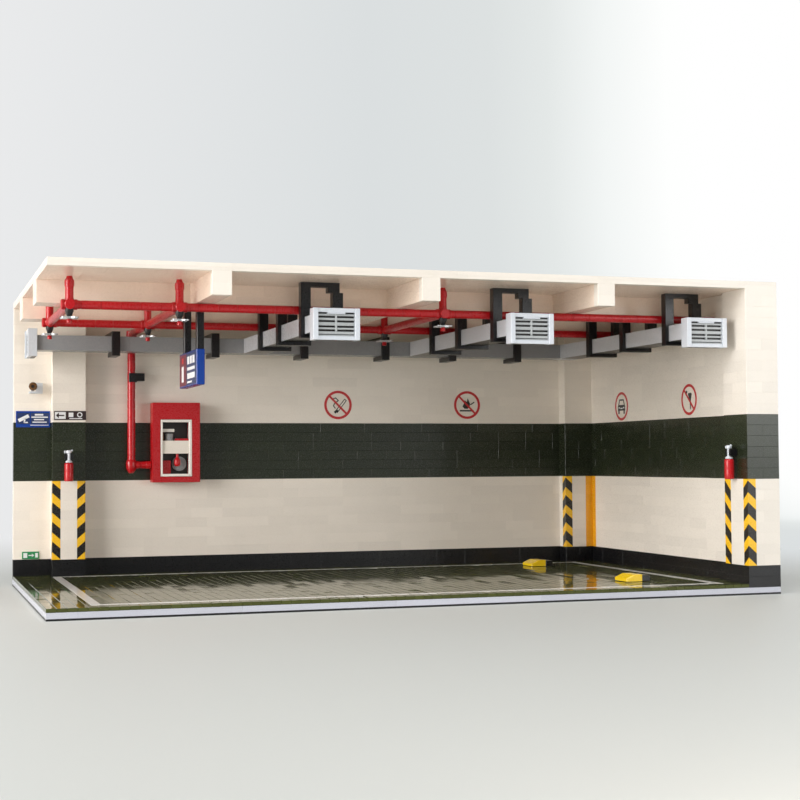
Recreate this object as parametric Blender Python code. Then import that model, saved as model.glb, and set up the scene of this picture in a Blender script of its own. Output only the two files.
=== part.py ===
"""Toy parking garage: one open bay of a brick-built underground car park.

Metres, +Z up. Every piece is drawn from the left front corner of the base:
x runs right, y runs back, z runs up. One empty carries them all and puts the
origin at the middle of the underside.
"""
import math

import bmesh
import bpy
from mathutils import Matrix, Vector

# Stud spacing of the bricks, and the seam that separate pieces keep between them
STUD = 0.008
GAP = 0.0003

# Overall plan: the front and the left end are open
LENGTH = 0.640
DEPTH = 0.360
BACK_WALL = 0.008
SIDE_WALL = 0.016
PIER_WIDTH = 0.032
PIER_DEPTH = 0.040
PIER_PROUD = 0.008
PILASTER_X = 0.036
PILASTER_WIDTH = 0.032
COLUMN_WIDTH = 0.032
PILASTER_DEPTH = 0.016
PIER_BACK_GUARD = 0.0106

# Heights of the layers, from the ground up
BASE_LOWER = 0.0016
BASE_UPPER = 0.0048
FLOOR = 0.0032
SKIRTING = 0.0192
LOWER_WALL = 0.0768
BAND = 0.0576
UPPER_WALL = 0.112
ROOF = 0.0064

# White outline of the parking bay, let into the floor
LINE_WIDTH = 0.008
LINE_DEPTH = 0.0022
BAY_LEFT = 0.036
BAY_FRONT = 0.016
BAY_TO_WALL = 0.024
BAY_TO_COLUMN = 0.006

# Ceiling beams run front to back, ribs run left to right
BEAM_WIDTH = 0.016
BEAM_HEIGHT = 0.0192
BEAM_1_X = 0.128
BEAM_2_X = 0.304
BEAM_3_TO_WALL = 0.152
RIB_WIDTH = 0.032
RIB_1_Y = 0.096
RIB_2_Y = 0.244

# Wheel stops: a ramp towards the car, a flat top and a black back
STOP_WIDTH = 0.024
STOP_HEIGHT = 0.0064
STOP_RAMP = 0.008
STOP_YELLOW = 0.016
STOP_BACK = 0.008
STOP_BACK_DROP = 0.0008
STOP_LIP = 0.003
STOP_TO_WALL = 0.0975
STOP_FRONT_Y = 0.061
STOP_REAR_Y = 0.278

# Air ducts, their grilles and the black hangers round them
PIPE_RADIUS = 0.00315
PIPE_CLEARANCE = 0.0038
DUCT_WIDTH = 0.024
DUCT_HEIGHT = 0.0144
MAIN_DUCT_TO_WALL = 0.031
MAIN_DUCT_LEFT = 0.018
BRANCH_1_X = 0.2184
BRANCH_2_TO_WALL = 0.2232
BRANCH_3_TO_WALL = 0.054
VENT_WIDTH = 0.040
VENT_HEIGHT = 0.0264
VENT_DEPTH = 0.0114
VENT_FRONT = 0.0155
VENT_LEFT = 0.0035
VENT_DROP = 0.008
VENT_JAMB = 0.0043
VENT_SILL = 0.0031
VENT_HEAD = 0.0049
VENT_RECESS = 0.001
SLOT_ROWS = (0.0079, 0.0111, 0.0155, 0.0191)
SLOT_HEIGHT = 0.0017
SLOT_DEPTH = 0.002
SLOT_MULLION = 0.0014
END_VENT_DEPTH = 0.0087
END_VENT_DROP = 0.006
END_VENT_TO_WALL = 0.018
HANGER_Y = 0.056
HANGER_DEPTH = 0.008
HANGER_LEG = 0.0032
HANGER_COLUMN = 0.0052
HANGER_TOP = 0.004
HANGER_HEAD = 0.0085
HANGER_HEAD_LEFT = 0.0203
HANGER_HEAD_RIGHT = 0.0306
HANGER_RIGHT = 0.0336
STRAP_ROWS_1 = (0.139, 0.212)
STRAP_ROWS_2 = (0.146, 0.219)
STRAP_ROWS_3 = (0.143, 0.218)

# Red sprinkler pipes under the beams
PIPE_FRONT_Y = 0.068
PIPE_BACK_Y = 0.238
PIPE_LEFT = 0.017
CROSS_1_X = 0.024
CROSS_2_TO_BEAM = 0.014
CROSS_3_TO_BEAM = 0.0265
FITTING_RADIUS = 0.0041
FITTING_LENGTH = 0.011
HEAD_CONE = 0.0026
HEAD_DISC_RADIUS = 0.009
HEAD_DISC = 0.0012
HEAD_DROP = 0.0076
HEAD_TIP_RADIUS = 0.0022
HEAD_TIP = 0.004

# Wall riser from the pipes down to the hose cabinet
RISER_RADIUS = 0.004
RISER_STANDOFF = 0.004
RISER_ELBOW = 0.0052
ELBOW_FOOT = ((0.5, -1.6), (1.0, -0.5), (1.0, 0.5), (0.8, 1.0))
ELBOW_HEAD = ((0.85, -1.0), (1.0, -0.5), (1.0, 0.6))
CLAMP_HEIGHT = 0.009
CLAMP_LENGTH = 0.013
CLAMP_HALF = 0.003
CLAMP_PROUD = 0.0048
CABINET_BRANCH_RADIUS = 0.0038
CLAMP_ABOVE_BAND = 0.045

# Hose cabinet and what is in it
CABINET_TO_RISER = 0.020
CABINET_WIDTH = 0.048
CABINET_HEIGHT = 0.080
CABINET_DEPTH = 0.016
CABINET_BELOW_BAND = 0.0024
CABINET_BACK = 0.002
WINDOW_MARGIN = 0.008
WINDOW_SILL = 0.0056
WINDOW_HEIGHT = 0.0576
FRAME_BAR = 0.0026
FRAME_DEPTH = 0.008
SHELF_ABOVE_SILL = 0.0232
SHELF_HEIGHT = 0.013
REEL_RADIUS = 0.0073
REEL_WIDTH = 0.006
REEL_HUB = 0.0024
REEL_PROFILE = ((1.0, 0.0), (1.0, 0.2), (0.8, 0.3), (0.8, 0.45), (1.0, 0.55), (1.0, 0.75))
REEL_ASIDE = 0.0044
VALVE_RADIUS = 0.0033
VALVE_HEIGHT = 0.009
VALVE_PROFILE = ((0.6, 0.0), (1.0, 0.25), (1.0, 0.8), (0.55, 1.0))
VALVE_STEM = 0.0014
VALVE_STEM_LENGTH = 0.0036
VALVE_Y = 0.0037
VALVE_ASIDE = 0.0015

# Fire extinguishers, their tap heads and the forks that hold them
BOTTLE_RADIUS = 0.0044
BOTTLE_HEIGHT = 0.018
BOTTLE_STANDOFF = 0.0021
BOTTLE_CHAMFER = 0.0004
TAP_BASE_RADIUS = 0.0034
TAP_BASE = 0.0024
TAP_NECK_RADIUS = 0.0016
TAP_NECK = 0.0066
TAP_HEAD_RADIUS = 0.0026
TAP_HEAD = 0.0031
TAP_SPOUT_RADIUS = 0.0012
TAP_SPOUT = 0.0046
TAP_HEAD_TOP_RADIUS = 0.0021
TAP_SPOUT_RISE = 0.0014
TAP_LEVER = 0.0037
TAP_LEVER_RADIUS = 0.001
TAP_LEVER_RISE = 0.0022
TAP_LEVER_TIP_RISE = 0.0034
FORK_WIDTH = 0.008
FORK_REACH = 0.0015
LEFT_BOTTLE_X = 0.0512
RIGHT_BOTTLE_Y = 0.0205

# Security camera on the left end of the back wall
CAMERA_X = 0.0175
CAMERA_ABOVE_BAND = 0.0352
CAMERA_RADIUS = 0.0032
CAMERA_BEHIND_PIVOT = 0.003
CAMERA_FRONT = 0.006
LENS_RADIUS = 0.0042
LENS_LENGTH = 0.0015
CAMERA_PIVOT = 0.0065
CAMERA_PIN_RADIUS = 0.0015
BRACKET_PLATE = 0.0027
BRACKET_WIDTH = 0.006
BRACKET_ARM = 0.0018
BRACKET_HEIGHT = 0.0104

# Sign that hangs from the first beam
SIGN_THICKNESS = 0.007
SIGN_LENGTH = 0.081
SIGN_HEIGHT = 0.030
SIGN_INSET = 0.002
SIGN_BAR_INSET = 0.0005
SIGN_Y = 0.0772
SIGN_BAR = 0.008
SIGN_BAR_HEIGHT = 0.0374
SIGN_BAR_SPACING = 0.059

# Faces and levels that several pieces share
Z_BASE = BASE_LOWER + BASE_UPPER
Z_FLOOR = Z_BASE + FLOOR
Z_LOWER = Z_BASE + SKIRTING
Z_BAND = Z_LOWER + LOWER_WALL
Z_UPPER = Z_BAND + BAND
Z_ROOF = Z_UPPER + UPPER_WALL
Z_TOP = Z_ROOF + ROOF
Z_BEAM = Z_ROOF - BEAM_HEIGHT
PIPE_Z = Z_BEAM - GAP - PIPE_RADIUS
DUCT_TOP = PIPE_Z - PIPE_RADIUS - PIPE_CLEARANCE
DUCT_LOW = DUCT_TOP - DUCT_HEIGHT
BACK_FACE = DEPTH - BACK_WALL
SIDE_OUT = LENGTH - PIER_PROUD
SIDE_FACE = SIDE_OUT - SIDE_WALL
PIER_FACE = LENGTH - PIER_WIDTH
PILASTER_RIGHT = PILASTER_X + PILASTER_WIDTH
PILASTER_FACE = BACK_FACE - PILASTER_DEPTH
COLUMN_X = SIDE_FACE - COLUMN_WIDTH
BAY_RIGHT = SIDE_FACE - BAY_TO_WALL
BAY_BACK = PILASTER_FACE - BAY_TO_COLUMN
BRANCH_2_X = SIDE_FACE - BRANCH_2_TO_WALL
BRANCH_3_X = SIDE_FACE - BRANCH_3_TO_WALL
CROSS_2_X = BEAM_1_X - CROSS_2_TO_BEAM
CROSS_3_X = BEAM_2_X + BEAM_WIDTH + CROSS_3_TO_BEAM
CABINET_X = CROSS_2_X + CABINET_TO_RISER
MAIN_DUCT_BACK = BACK_FACE - MAIN_DUCT_TO_WALL
MAIN_DUCT_FRONT = MAIN_DUCT_BACK - DUCT_WIDTH
CABINET_FACE = BACK_FACE - CABINET_DEPTH
CABINET_LOW = Z_BAND - CABINET_BELOW_BAND

# Colours as linear red, green and blue
CREAM = (0.80, 0.74, 0.64)
GREEN = (0.022, 0.042, 0.016)
BLACK = (0.010, 0.010, 0.012)
RED = (0.55, 0.008, 0.012)
YELLOW = (0.90, 0.42, 0.02)
PALE_GREY = (0.60, 0.62, 0.66)
DUCT_GREY = (0.33, 0.35, 0.38)
WHITE = (0.82, 0.82, 0.80)
BLUE = (0.01, 0.06, 0.40)


def clear_scene():
    """Remove whatever the file opened with."""
    for item in list(bpy.data.objects):
        bpy.data.objects.remove(item, do_unlink=True)


def make_root():
    """The empty that carries every piece, at the left front corner."""
    root = bpy.data.objects.new("garage", None)
    root.location = (-LENGTH / 2, -DEPTH / 2, 0.0)
    bpy.context.collection.objects.link(root)
    return root


def add_object(name, bm):
    """Turn a bmesh into a named object, with its faces pointing out."""
    bmesh.ops.recalc_face_normals(bm, faces=bm.faces)
    mesh = bpy.data.meshes.new(name)
    bm.to_mesh(mesh)
    bm.free()
    item = bpy.data.objects.new(name, mesh)
    bpy.context.collection.objects.link(item)
    return item


def block(name, low, high):
    """A box between two corners."""
    bm = bmesh.new()
    size = Vector(high) - Vector(low)
    middle = (Vector(high) + Vector(low)) / 2
    place = Matrix.Translation(middle) @ Matrix.Diagonal((*size, 1.0))
    bmesh.ops.create_cube(bm, size=1.0, matrix=place)
    return add_object(name, bm)


def extruded(name, outline, start, end, axis="Z"):
    """An outline pushed along an axis; its points are the other two axes in order."""
    order = {"X": (1, 2, 0), "Y": (0, 2, 1), "Z": (0, 1, 2)}[axis]
    bm = bmesh.new()
    corners = []
    for first, second in outline:
        point = [0.0, 0.0, 0.0]
        point[order[0]] = first
        point[order[1]] = second
        point[order[2]] = start
        corners.append(bm.verts.new(point))
    face = bm.faces.new(corners)
    grown = bmesh.ops.extrude_face_region(bm, geom=[face])
    moved = [item for item in grown["geom"] if isinstance(item, bmesh.types.BMVert)]
    shift = Vector((0.0, 0.0, 0.0))
    shift[order[2]] = end - start
    bmesh.ops.translate(bm, verts=moved, vec=shift)
    return add_object(name, bm)


def turned(name, profile, place, sides=16):
    """A profile of (radius, height) pairs turned round the Z axis of a matrix."""
    bm = bmesh.new()
    rings = []
    for radius, height in profile:
        ring = []
        for side in range(sides):
            angle = 2 * math.pi * (side + 0.5) / sides
            spot = Vector((radius * math.cos(angle), radius * math.sin(angle), height))
            ring.append(bm.verts.new(place @ spot))
        rings.append(ring)
    for lower, upper in zip(rings, rings[1:]):
        for side in range(sides):
            after = (side + 1) % sides
            bm.faces.new((lower[side], lower[after], upper[after], upper[side]))
    bm.faces.new(rings[0])
    bm.faces.new(rings[-1])
    item = add_object(name, bm)
    item.data.shade_smooth()
    item.data.set_sharp_from_angle(angle=math.radians(40))
    return item


def shares(profile, radius, height, start=0.0):
    """A profile given as shares of a radius and a height, in metres."""
    return [(first * radius, start + second * height) for first, second in profile]


def pipe_between(name, start, end, radius, sides=12):
    """A round bar between two points."""
    run = Vector(end) - Vector(start)
    turn = run.to_track_quat("Z", "Y").to_matrix().to_4x4()
    place = Matrix.Translation(start) @ turn
    return turned(name, ((radius, 0.0), (radius, run.length)), place, sides)


def combine(item, tools, operation):
    """Join or cut an object with others, which are then removed."""
    for number, tool in enumerate(tools):
        step = item.modifiers.new(f"step_{number}", "BOOLEAN")
        step.operation = operation
        step.solver = "EXACT"
        step.object = tool
    graph = bpy.context.evaluated_depsgraph_get()
    mesh = bpy.data.meshes.new_from_object(item.evaluated_get(graph))
    item.modifiers.clear()
    item.data = mesh
    for tool in tools:
        bpy.data.objects.remove(tool, do_unlink=True)
    return item


def joined(item, *tools):
    """One solid from several that run into each other."""
    return combine(item, tools, "UNION")


def cut(item, *tools):
    """A solid with others taken out of it."""
    return combine(item, tools, "DIFFERENCE")


def finish(root, item, colour, roughness=0.3):
    """Give a piece its own plastic and hang it under the root."""
    plastic = bpy.data.materials.new(f"{item.name}_plastic")
    plastic.use_nodes = True
    shader = plastic.node_tree.nodes["Principled BSDF"]
    shader.inputs["Base Color"].default_value = (*colour, 1.0)
    shader.inputs["Roughness"].default_value = roughness
    shader.inputs["Metallic"].default_value = 0.0
    plastic.diffuse_color = (*colour, 1.0)
    item.data.materials.clear()
    item.data.materials.append(plastic)
    item.parent = root
    return item


def build_base(root):
    """Two base plates, the tiled floor and the bay's white outline."""
    lower = block("base_lower_plate", (0, 0, 0), (LENGTH, DEPTH, BASE_LOWER))
    finish(root, lower, BLACK)
    upper = block("base_upper_plate", (0, 0, BASE_LOWER + GAP), (LENGTH, DEPTH, Z_BASE))
    finish(root, upper, PALE_GREY)
    outline = (
        (0, 0),
        (PIER_FACE - GAP, 0),
        (PIER_FACE - GAP, PIER_DEPTH + GAP),
        (SIDE_FACE - GAP, PIER_DEPTH + GAP),
        (SIDE_FACE - GAP, PILASTER_FACE - GAP),
        (COLUMN_X - GAP, PILASTER_FACE - GAP),
        (COLUMN_X - GAP, BACK_FACE - GAP),
        (PILASTER_RIGHT + GAP, BACK_FACE - GAP),
        (PILASTER_RIGHT + GAP, PILASTER_FACE - GAP),
        (PILASTER_X - GAP, PILASTER_FACE - GAP),
        (PILASTER_X - GAP, BACK_FACE - GAP),
        (0, BACK_FACE - GAP),
    )
    tiles = extruded("floor_tiles", outline, Z_BASE + GAP, Z_FLOOR)
    groove = bay_ring("groove", 0.0, Z_FLOOR - LINE_DEPTH - GAP, Z_FLOOR + STUD)
    finish(root, cut(tiles, groove), GREEN, 0.12)
    line = bay_ring("bay_line", GAP, Z_FLOOR - LINE_DEPTH, Z_FLOOR)
    finish(root, line, WHITE)


def bay_ring(name, inset, low, high):
    """A frame along the bay's outline, drawn in by a gap on both its edges."""
    ring = block(
        name,
        (BAY_LEFT + inset, BAY_FRONT + inset, low),
        (BAY_RIGHT - inset, BAY_BACK - inset, high),
    )
    edge = LINE_WIDTH - inset
    hole = block(
        "hole",
        (BAY_LEFT + edge, BAY_FRONT + edge, low - STUD),
        (BAY_RIGHT - edge, BAY_BACK - edge, high + STUD),
    )
    return cut(ring, hole)


def back_outline(notch):
    """Plan of the back wall with its pilaster and corner column."""
    step = PILASTER_FACE + notch
    outline = [(0, BACK_FACE), (PILASTER_X, BACK_FACE)]
    if notch:
        outline += [
            (PILASTER_X, step),
            (PILASTER_X + notch, step),
            (PILASTER_X + notch, PILASTER_FACE),
            (PILASTER_RIGHT - notch, PILASTER_FACE),
            (PILASTER_RIGHT - notch, step),
            (PILASTER_RIGHT, step),
            (PILASTER_RIGHT, BACK_FACE),
            (COLUMN_X, BACK_FACE),
            (COLUMN_X, step),
            (COLUMN_X + notch, step),
            (COLUMN_X + notch, PILASTER_FACE),
            (SIDE_FACE - notch, PILASTER_FACE),
            (SIDE_FACE - notch, step),
            (SIDE_FACE - GAP, step),
        ]
    else:
        outline += [
            (PILASTER_X, PILASTER_FACE),
            (PILASTER_RIGHT, PILASTER_FACE),
            (PILASTER_RIGHT, BACK_FACE),
            (COLUMN_X, BACK_FACE),
            (COLUMN_X, PILASTER_FACE),
            (SIDE_FACE - GAP, PILASTER_FACE),
        ]
    outline += [(SIDE_FACE - GAP, DEPTH), (0, DEPTH)]
    return outline


def build_skirting(root):
    """One black course that follows all the walls."""
    outline = (
        (0, BACK_FACE),
        (PILASTER_X, BACK_FACE),
        (PILASTER_X, PILASTER_FACE),
        (PILASTER_RIGHT, PILASTER_FACE),
        (PILASTER_RIGHT, BACK_FACE),
        (COLUMN_X, BACK_FACE),
        (COLUMN_X, PILASTER_FACE),
        (SIDE_FACE, PILASTER_FACE),
        (SIDE_FACE, PIER_DEPTH),
        (PIER_FACE, PIER_DEPTH),
        (PIER_FACE, 0),
        (LENGTH, 0),
        (LENGTH, PIER_DEPTH),
        (SIDE_OUT, PIER_DEPTH),
        (SIDE_OUT, DEPTH),
        (0, DEPTH),
    )
    finish(root, extruded("skirting", outline, Z_BASE + GAP, Z_LOWER), BLACK)


def build_walls(root):
    """Cream, green and cream courses of the back wall, the side wall and the pier."""
    courses = (
        ("lower", Z_LOWER, Z_BAND, CREAM),
        ("band", Z_BAND, Z_UPPER, GREEN),
        ("upper", Z_UPPER, Z_ROOF, CREAM),
    )
    for course, low, high, colour in courses:
        notch = STUD + GAP if course == "lower" else 0.0
        wall = extruded(f"back_wall_{course}", back_outline(notch), low + GAP, high)
        finish(root, wall, colour)
        start = PIER_DEPTH + GAP
        side = block(
            f"right_wall_{course}",
            (SIDE_FACE, start, low + GAP),
            (SIDE_OUT, DEPTH, high),
        )
        top = Z_TOP if course == "upper" else high
        pier = block(f"pier_{course}", (PIER_FACE, 0, low + GAP), (LENGTH, PIER_DEPTH, top))
        if course == "lower":
            side = cut(side, *side_notches())
            pier = cut(pier, *pier_notches())
        finish(root, side, colour)
        finish(root, pier, colour)


def side_notches():
    """Room in the side wall for the plain strip in the corner."""
    low = Z_LOWER - STUD
    high = Z_BAND + STUD
    near = block(
        "notch",
        (SIDE_FACE - STUD, PILASTER_FACE - STUD - GAP, low),
        (SIDE_FACE + STUD + GAP, PILASTER_FACE + STUD + GAP, high),
    )
    return [near]


def pier_notches():
    """Room in the pier for its two striped corners."""
    low = Z_LOWER - STUD
    high = Z_BAND + STUD
    inner = PIER_FACE + STUD + GAP
    front = block("notch", (PIER_FACE - STUD, -STUD, low), (inner, STUD + GAP, high))
    back_start = PIER_DEPTH - PIER_BACK_GUARD - GAP
    back = block(
        "notch",
        (PIER_FACE - STUD, back_start, low),
        (inner, PIER_DEPTH + STUD, high),
    )
    return [front, back]


def build_guards(root):
    """Striped corner bricks beside the bay, and the plain strip in the corner."""
    low = Z_LOWER + GAP
    high = Z_BAND
    near = PILASTER_FACE
    squares = (
        ("corner_guard_pilaster_left", PILASTER_X, near, STUD),
        ("corner_guard_pilaster_right", PILASTER_RIGHT - STUD, near, STUD),
        ("corner_guard_column", COLUMN_X, near, STUD),
        ("corner_guard_pier_front", PIER_FACE, 0.0, STUD),
        ("corner_guard_pier_back", PIER_FACE, PIER_DEPTH - PIER_BACK_GUARD, PIER_BACK_GUARD),
    )
    for name, x, y, depth in squares:
        finish(root, block(name, (x, y, low), (x + STUD, y + depth, high)), YELLOW)
    outline = (
        (SIDE_FACE - STUD, near),
        (SIDE_FACE, near),
        (SIDE_FACE, near - STUD),
        (SIDE_FACE + STUD, near - STUD),
        (SIDE_FACE + STUD, near + STUD),
        (SIDE_FACE - STUD + GAP, near + STUD),
        (SIDE_FACE - STUD + GAP, near + STUD - GAP),
        (SIDE_FACE - STUD, near + STUD - GAP),
    )
    finish(root, extruded("corner_strip_plain", outline, low, high), YELLOW)


def build_roof(root):
    """The roof panel, notched round the pier."""
    outline = (
        (0, 0),
        (PIER_FACE - GAP, 0),
        (PIER_FACE - GAP, PIER_DEPTH + GAP),
        (SIDE_OUT, PIER_DEPTH + GAP),
        (SIDE_OUT, DEPTH),
        (0, DEPTH),
    )
    finish(root, extruded("roof_panel", outline, Z_ROOF + GAP, Z_TOP), CREAM)


def build_ceiling(root):
    """Beams and ribs, which pass each other in half-lap joints."""
    beams = (BEAM_1_X, BEAM_2_X, SIDE_FACE - BEAM_3_TO_WALL)
    ribs = (RIB_1_Y, RIB_2_Y)
    middle = Z_BEAM + BEAM_HEIGHT / 2
    for number, x in enumerate(beams, 1):
        beam = block(
            f"ceiling_beam_{number}",
            (x, 0, Z_BEAM),
            (x + BEAM_WIDTH, BACK_FACE - GAP, Z_ROOF),
        )
        laps = []
        for y in ribs:
            low = (x - STUD, y - GAP, middle)
            laps.append(block("lap", low, (x + BEAM_WIDTH + STUD, y + RIB_WIDTH + GAP, Z_TOP)))
        finish(root, cut(beam, *laps), CREAM)
    for number, y in enumerate(ribs, 1):
        rib = block(
            f"ceiling_rib_{number}",
            (0, y, Z_BEAM),
            (SIDE_FACE - GAP, y + RIB_WIDTH, Z_ROOF),
        )
        laps = []
        for x in beams:
            low = (x - GAP, y - STUD, Z_BEAM - STUD)
            high = (x + BEAM_WIDTH + GAP, y + RIB_WIDTH + STUD, middle + GAP)
            laps.append(block("lap", low, high))
        finish(root, cut(rib, *laps), CREAM)


def build_wheel_stops(root):
    """A wedge for each wheel, with the ramp towards the bay."""
    start = SIDE_FACE - STOP_TO_WALL
    low = Z_FLOOR + GAP
    high = Z_FLOOR + STOP_HEIGHT
    back_top = high - STOP_BACK_DROP
    profile = (
        (start, low),
        (start + STOP_YELLOW + STOP_BACK, low),
        (start + STOP_YELLOW + STOP_BACK, back_top),
        (start + STOP_YELLOW, back_top),
        (start + STOP_YELLOW, high),
        (start + STOP_RAMP, high),
        (start, Z_FLOOR + STOP_LIP),
    )
    for name, y in (("wheel_stop_front", STOP_FRONT_Y), ("wheel_stop_rear", STOP_REAR_Y)):
        stop = extruded(name, profile, y, y + STOP_WIDTH, "Y")
        finish(root, stop, YELLOW, 0.25)


def grille(name, width, depth):
    """A vent box seen from its front: jambs, head, sill and split louvre slots."""
    box = block(name, (0, 0, 0), (width, depth, VENT_HEIGHT))
    recess = block(
        "recess",
        (VENT_JAMB, -STUD, VENT_SILL),
        (width - VENT_JAMB, VENT_RECESS, VENT_HEIGHT - VENT_HEAD),
    )
    box = cut(box, recess)
    slots = []
    clear = (width - 2 * VENT_JAMB - 3 * SLOT_MULLION) / 2
    for centre in SLOT_ROWS:
        for half in range(2):
            x = VENT_JAMB + SLOT_MULLION + half * (clear + SLOT_MULLION)
            low = (x, -STUD, centre - SLOT_HEIGHT / 2)
            high = (x + clear, VENT_RECESS + SLOT_DEPTH, centre + SLOT_HEIGHT / 2)
            slots.append(block("slot", low, high))
    return cut(box, *slots)


def build_ducts(root):
    """The main duct along the back, three branches and their grilles."""
    main = block(
        "main_duct",
        (MAIN_DUCT_LEFT, MAIN_DUCT_FRONT, DUCT_LOW),
        (BRANCH_3_X - GAP, MAIN_DUCT_BACK, DUCT_TOP),
    )
    finish(root, main, DUCT_GREY)
    start = VENT_FRONT + VENT_DEPTH + GAP
    ends = (MAIN_DUCT_FRONT - GAP, MAIN_DUCT_FRONT - GAP, MAIN_DUCT_BACK)
    for number, x in enumerate((BRANCH_1_X, BRANCH_2_X, BRANCH_3_X), 1):
        branch = block(
            f"branch_duct_{number}",
            (x, start, DUCT_LOW),
            (x + DUCT_WIDTH, ends[number - 1], DUCT_TOP),
        )
        finish(root, branch, DUCT_GREY)
        vent = grille(f"air_vent_{number}", VENT_WIDTH, VENT_DEPTH)
        vent.location = (x - VENT_LEFT, VENT_FRONT, DUCT_LOW - VENT_DROP)
        finish(root, vent, WHITE)
    end = grille("air_vent_end", VENT_WIDTH, END_VENT_DEPTH)
    end.rotation_euler = (0.0, 0.0, math.radians(-90))
    end_x = MAIN_DUCT_LEFT - GAP - END_VENT_DEPTH
    end.location = (end_x, BACK_FACE - END_VENT_TO_WALL, DUCT_LOW - END_VENT_DROP)
    finish(root, end, PALE_GREY)


def hanger(name, x, y):
    """A black loop round a duct, with a column on each side up to the ceiling."""
    low = DUCT_LOW - GAP - HANGER_LEG
    top = Z_ROOF
    knee = top - HANGER_HEAD
    left = x - GAP - HANGER_LEG
    leg = x + DUCT_WIDTH + GAP + HANGER_LEG
    outline = (
        (left, low),
        (leg, low),
        (leg, DUCT_TOP),
        (x + HANGER_RIGHT, DUCT_TOP),
        (x + HANGER_RIGHT, knee),
        (x + HANGER_HEAD_RIGHT, knee),
        (x + HANGER_HEAD_RIGHT, top),
        (left, top),
    )
    loop = extruded(name, outline, y, y + HANGER_DEPTH, "Y")
    front = y - STUD
    back = y + HANGER_DEPTH + STUD
    inner = x + DUCT_WIDTH + GAP
    round_duct = block("hole", (x - GAP, front, DUCT_LOW - GAP), (inner, back, DUCT_TOP + GAP))
    opening = block("hole", (x + HANGER_COLUMN, front, DUCT_TOP - GAP), (inner, back, knee))
    peak = block(
        "hole",
        (x + HANGER_COLUMN, front, DUCT_TOP),
        (x + HANGER_HEAD_LEFT, back, top - HANGER_TOP),
    )
    return cut(loop, round_duct, opening, peak)


def build_hangers(root):
    """One hanger behind each vent and two straps further back on each branch."""
    rows = (STRAP_ROWS_1, STRAP_ROWS_2, STRAP_ROWS_3)
    for number, x in enumerate((BRANCH_1_X, BRANCH_2_X, BRANCH_3_X), 1):
        finish(root, hanger(f"vent_hanger_{number}", x, HANGER_Y), BLACK)
        for part, y in zip(("front", "rear"), rows[number - 1]):
            finish(root, hanger(f"duct_strap_{number}_{part}", x, y), BLACK)


def sprinkler_head(x, y):
    """Cone, spray disc and tip below one tee, turned as one solid."""
    disc_top = PIPE_Z - PIPE_RADIUS - HEAD_DROP
    profile = (
        (HEAD_TIP_RADIUS, disc_top - HEAD_DISC - HEAD_TIP),
        (HEAD_TIP_RADIUS, disc_top - HEAD_DISC),
        (HEAD_DISC_RADIUS, disc_top - HEAD_DISC),
        (HEAD_DISC_RADIUS, disc_top),
        (HEAD_CONE / 2, disc_top),
        (HEAD_CONE, PIPE_Z - PIPE_RADIUS / 2),
    )
    return turned("head", profile, Matrix.Translation((x, y, 0)), 16)


def build_pipes(root):
    """Two runs, three cross pipes, risers to the ceiling and the spray heads."""
    crosses = (CROSS_1_X, CROSS_2_X, CROSS_3_X)
    end = SIDE_FACE - GAP
    front = pipe_between(
        "sprinkler_pipes",
        (PIPE_LEFT, PIPE_FRONT_Y, PIPE_Z),
        (end, PIPE_FRONT_Y, PIPE_Z),
        PIPE_RADIUS,
    )
    back = pipe_between("run", (PIPE_LEFT, PIPE_BACK_Y, PIPE_Z), (end, PIPE_BACK_Y, PIPE_Z), PIPE_RADIUS)
    tools = [back]
    half = FITTING_LENGTH / 2
    for x in crosses:
        for y in (PIPE_FRONT_Y, PIPE_BACK_Y):
            low = Z_BEAM - GAP
            fitting = block(
                "fitting",
                (x - FITTING_RADIUS, y - half, PIPE_Z - FITTING_RADIUS + GAP),
                (x + FITTING_RADIUS, y + half, low),
            )
            tools.append(fitting)
            tools.append(pipe_between("rise", (x, y, PIPE_Z), (x, y, Z_ROOF), PIPE_RADIUS))
            tools.append(sprinkler_head(x, y))
        stop = PIPE_BACK_Y
        if x == CROSS_2_X:
            stop = BACK_FACE - RISER_STANDOFF - RISER_RADIUS - RISER_ELBOW - GAP
        tools.append(pipe_between("cross", (x, PIPE_FRONT_Y, PIPE_Z), (x, stop, PIPE_Z), PIPE_RADIUS))
    finish(root, joined(front, *tools), RED, 0.2)


def build_riser(root):
    """The pipe down the wall, its elbows, its clamp and the branch to the cabinet."""
    y = BACK_FACE - RISER_STANDOFF - RISER_RADIUS
    foot = CABINET_LOW + RISER_RADIUS + STUD + WINDOW_SILL
    riser = pipe_between("riser_pipe", (CROSS_2_X, y, foot), (CROSS_2_X, y, PIPE_Z), RISER_RADIUS)
    elbow = shares(ELBOW_FOOT, RISER_ELBOW, RISER_ELBOW)
    lower = turned("elbow", elbow, Matrix.Translation((CROSS_2_X, y, foot)), 12)
    cap = shares(ELBOW_HEAD, RISER_ELBOW, RISER_ELBOW)
    upper = turned("elbow", cap, Matrix.Translation((CROSS_2_X, y, PIPE_Z)), 12)
    end = (CABINET_X - GAP, y, foot)
    branch = pipe_between("branch", (CROSS_2_X, y, foot), end, CABINET_BRANCH_RADIUS)
    middle = Z_UPPER + CLAMP_ABOVE_BAND
    clamp = block(
        "clamp",
        (CROSS_2_X - CLAMP_HALF, y - CLAMP_PROUD, middle - CLAMP_HEIGHT / 2),
        (CROSS_2_X + CLAMP_LENGTH, BACK_FACE - GAP, middle + CLAMP_HEIGHT / 2),
    )
    finish(root, joined(riser, lower, upper, branch, clamp), RED, 0.2)


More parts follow.
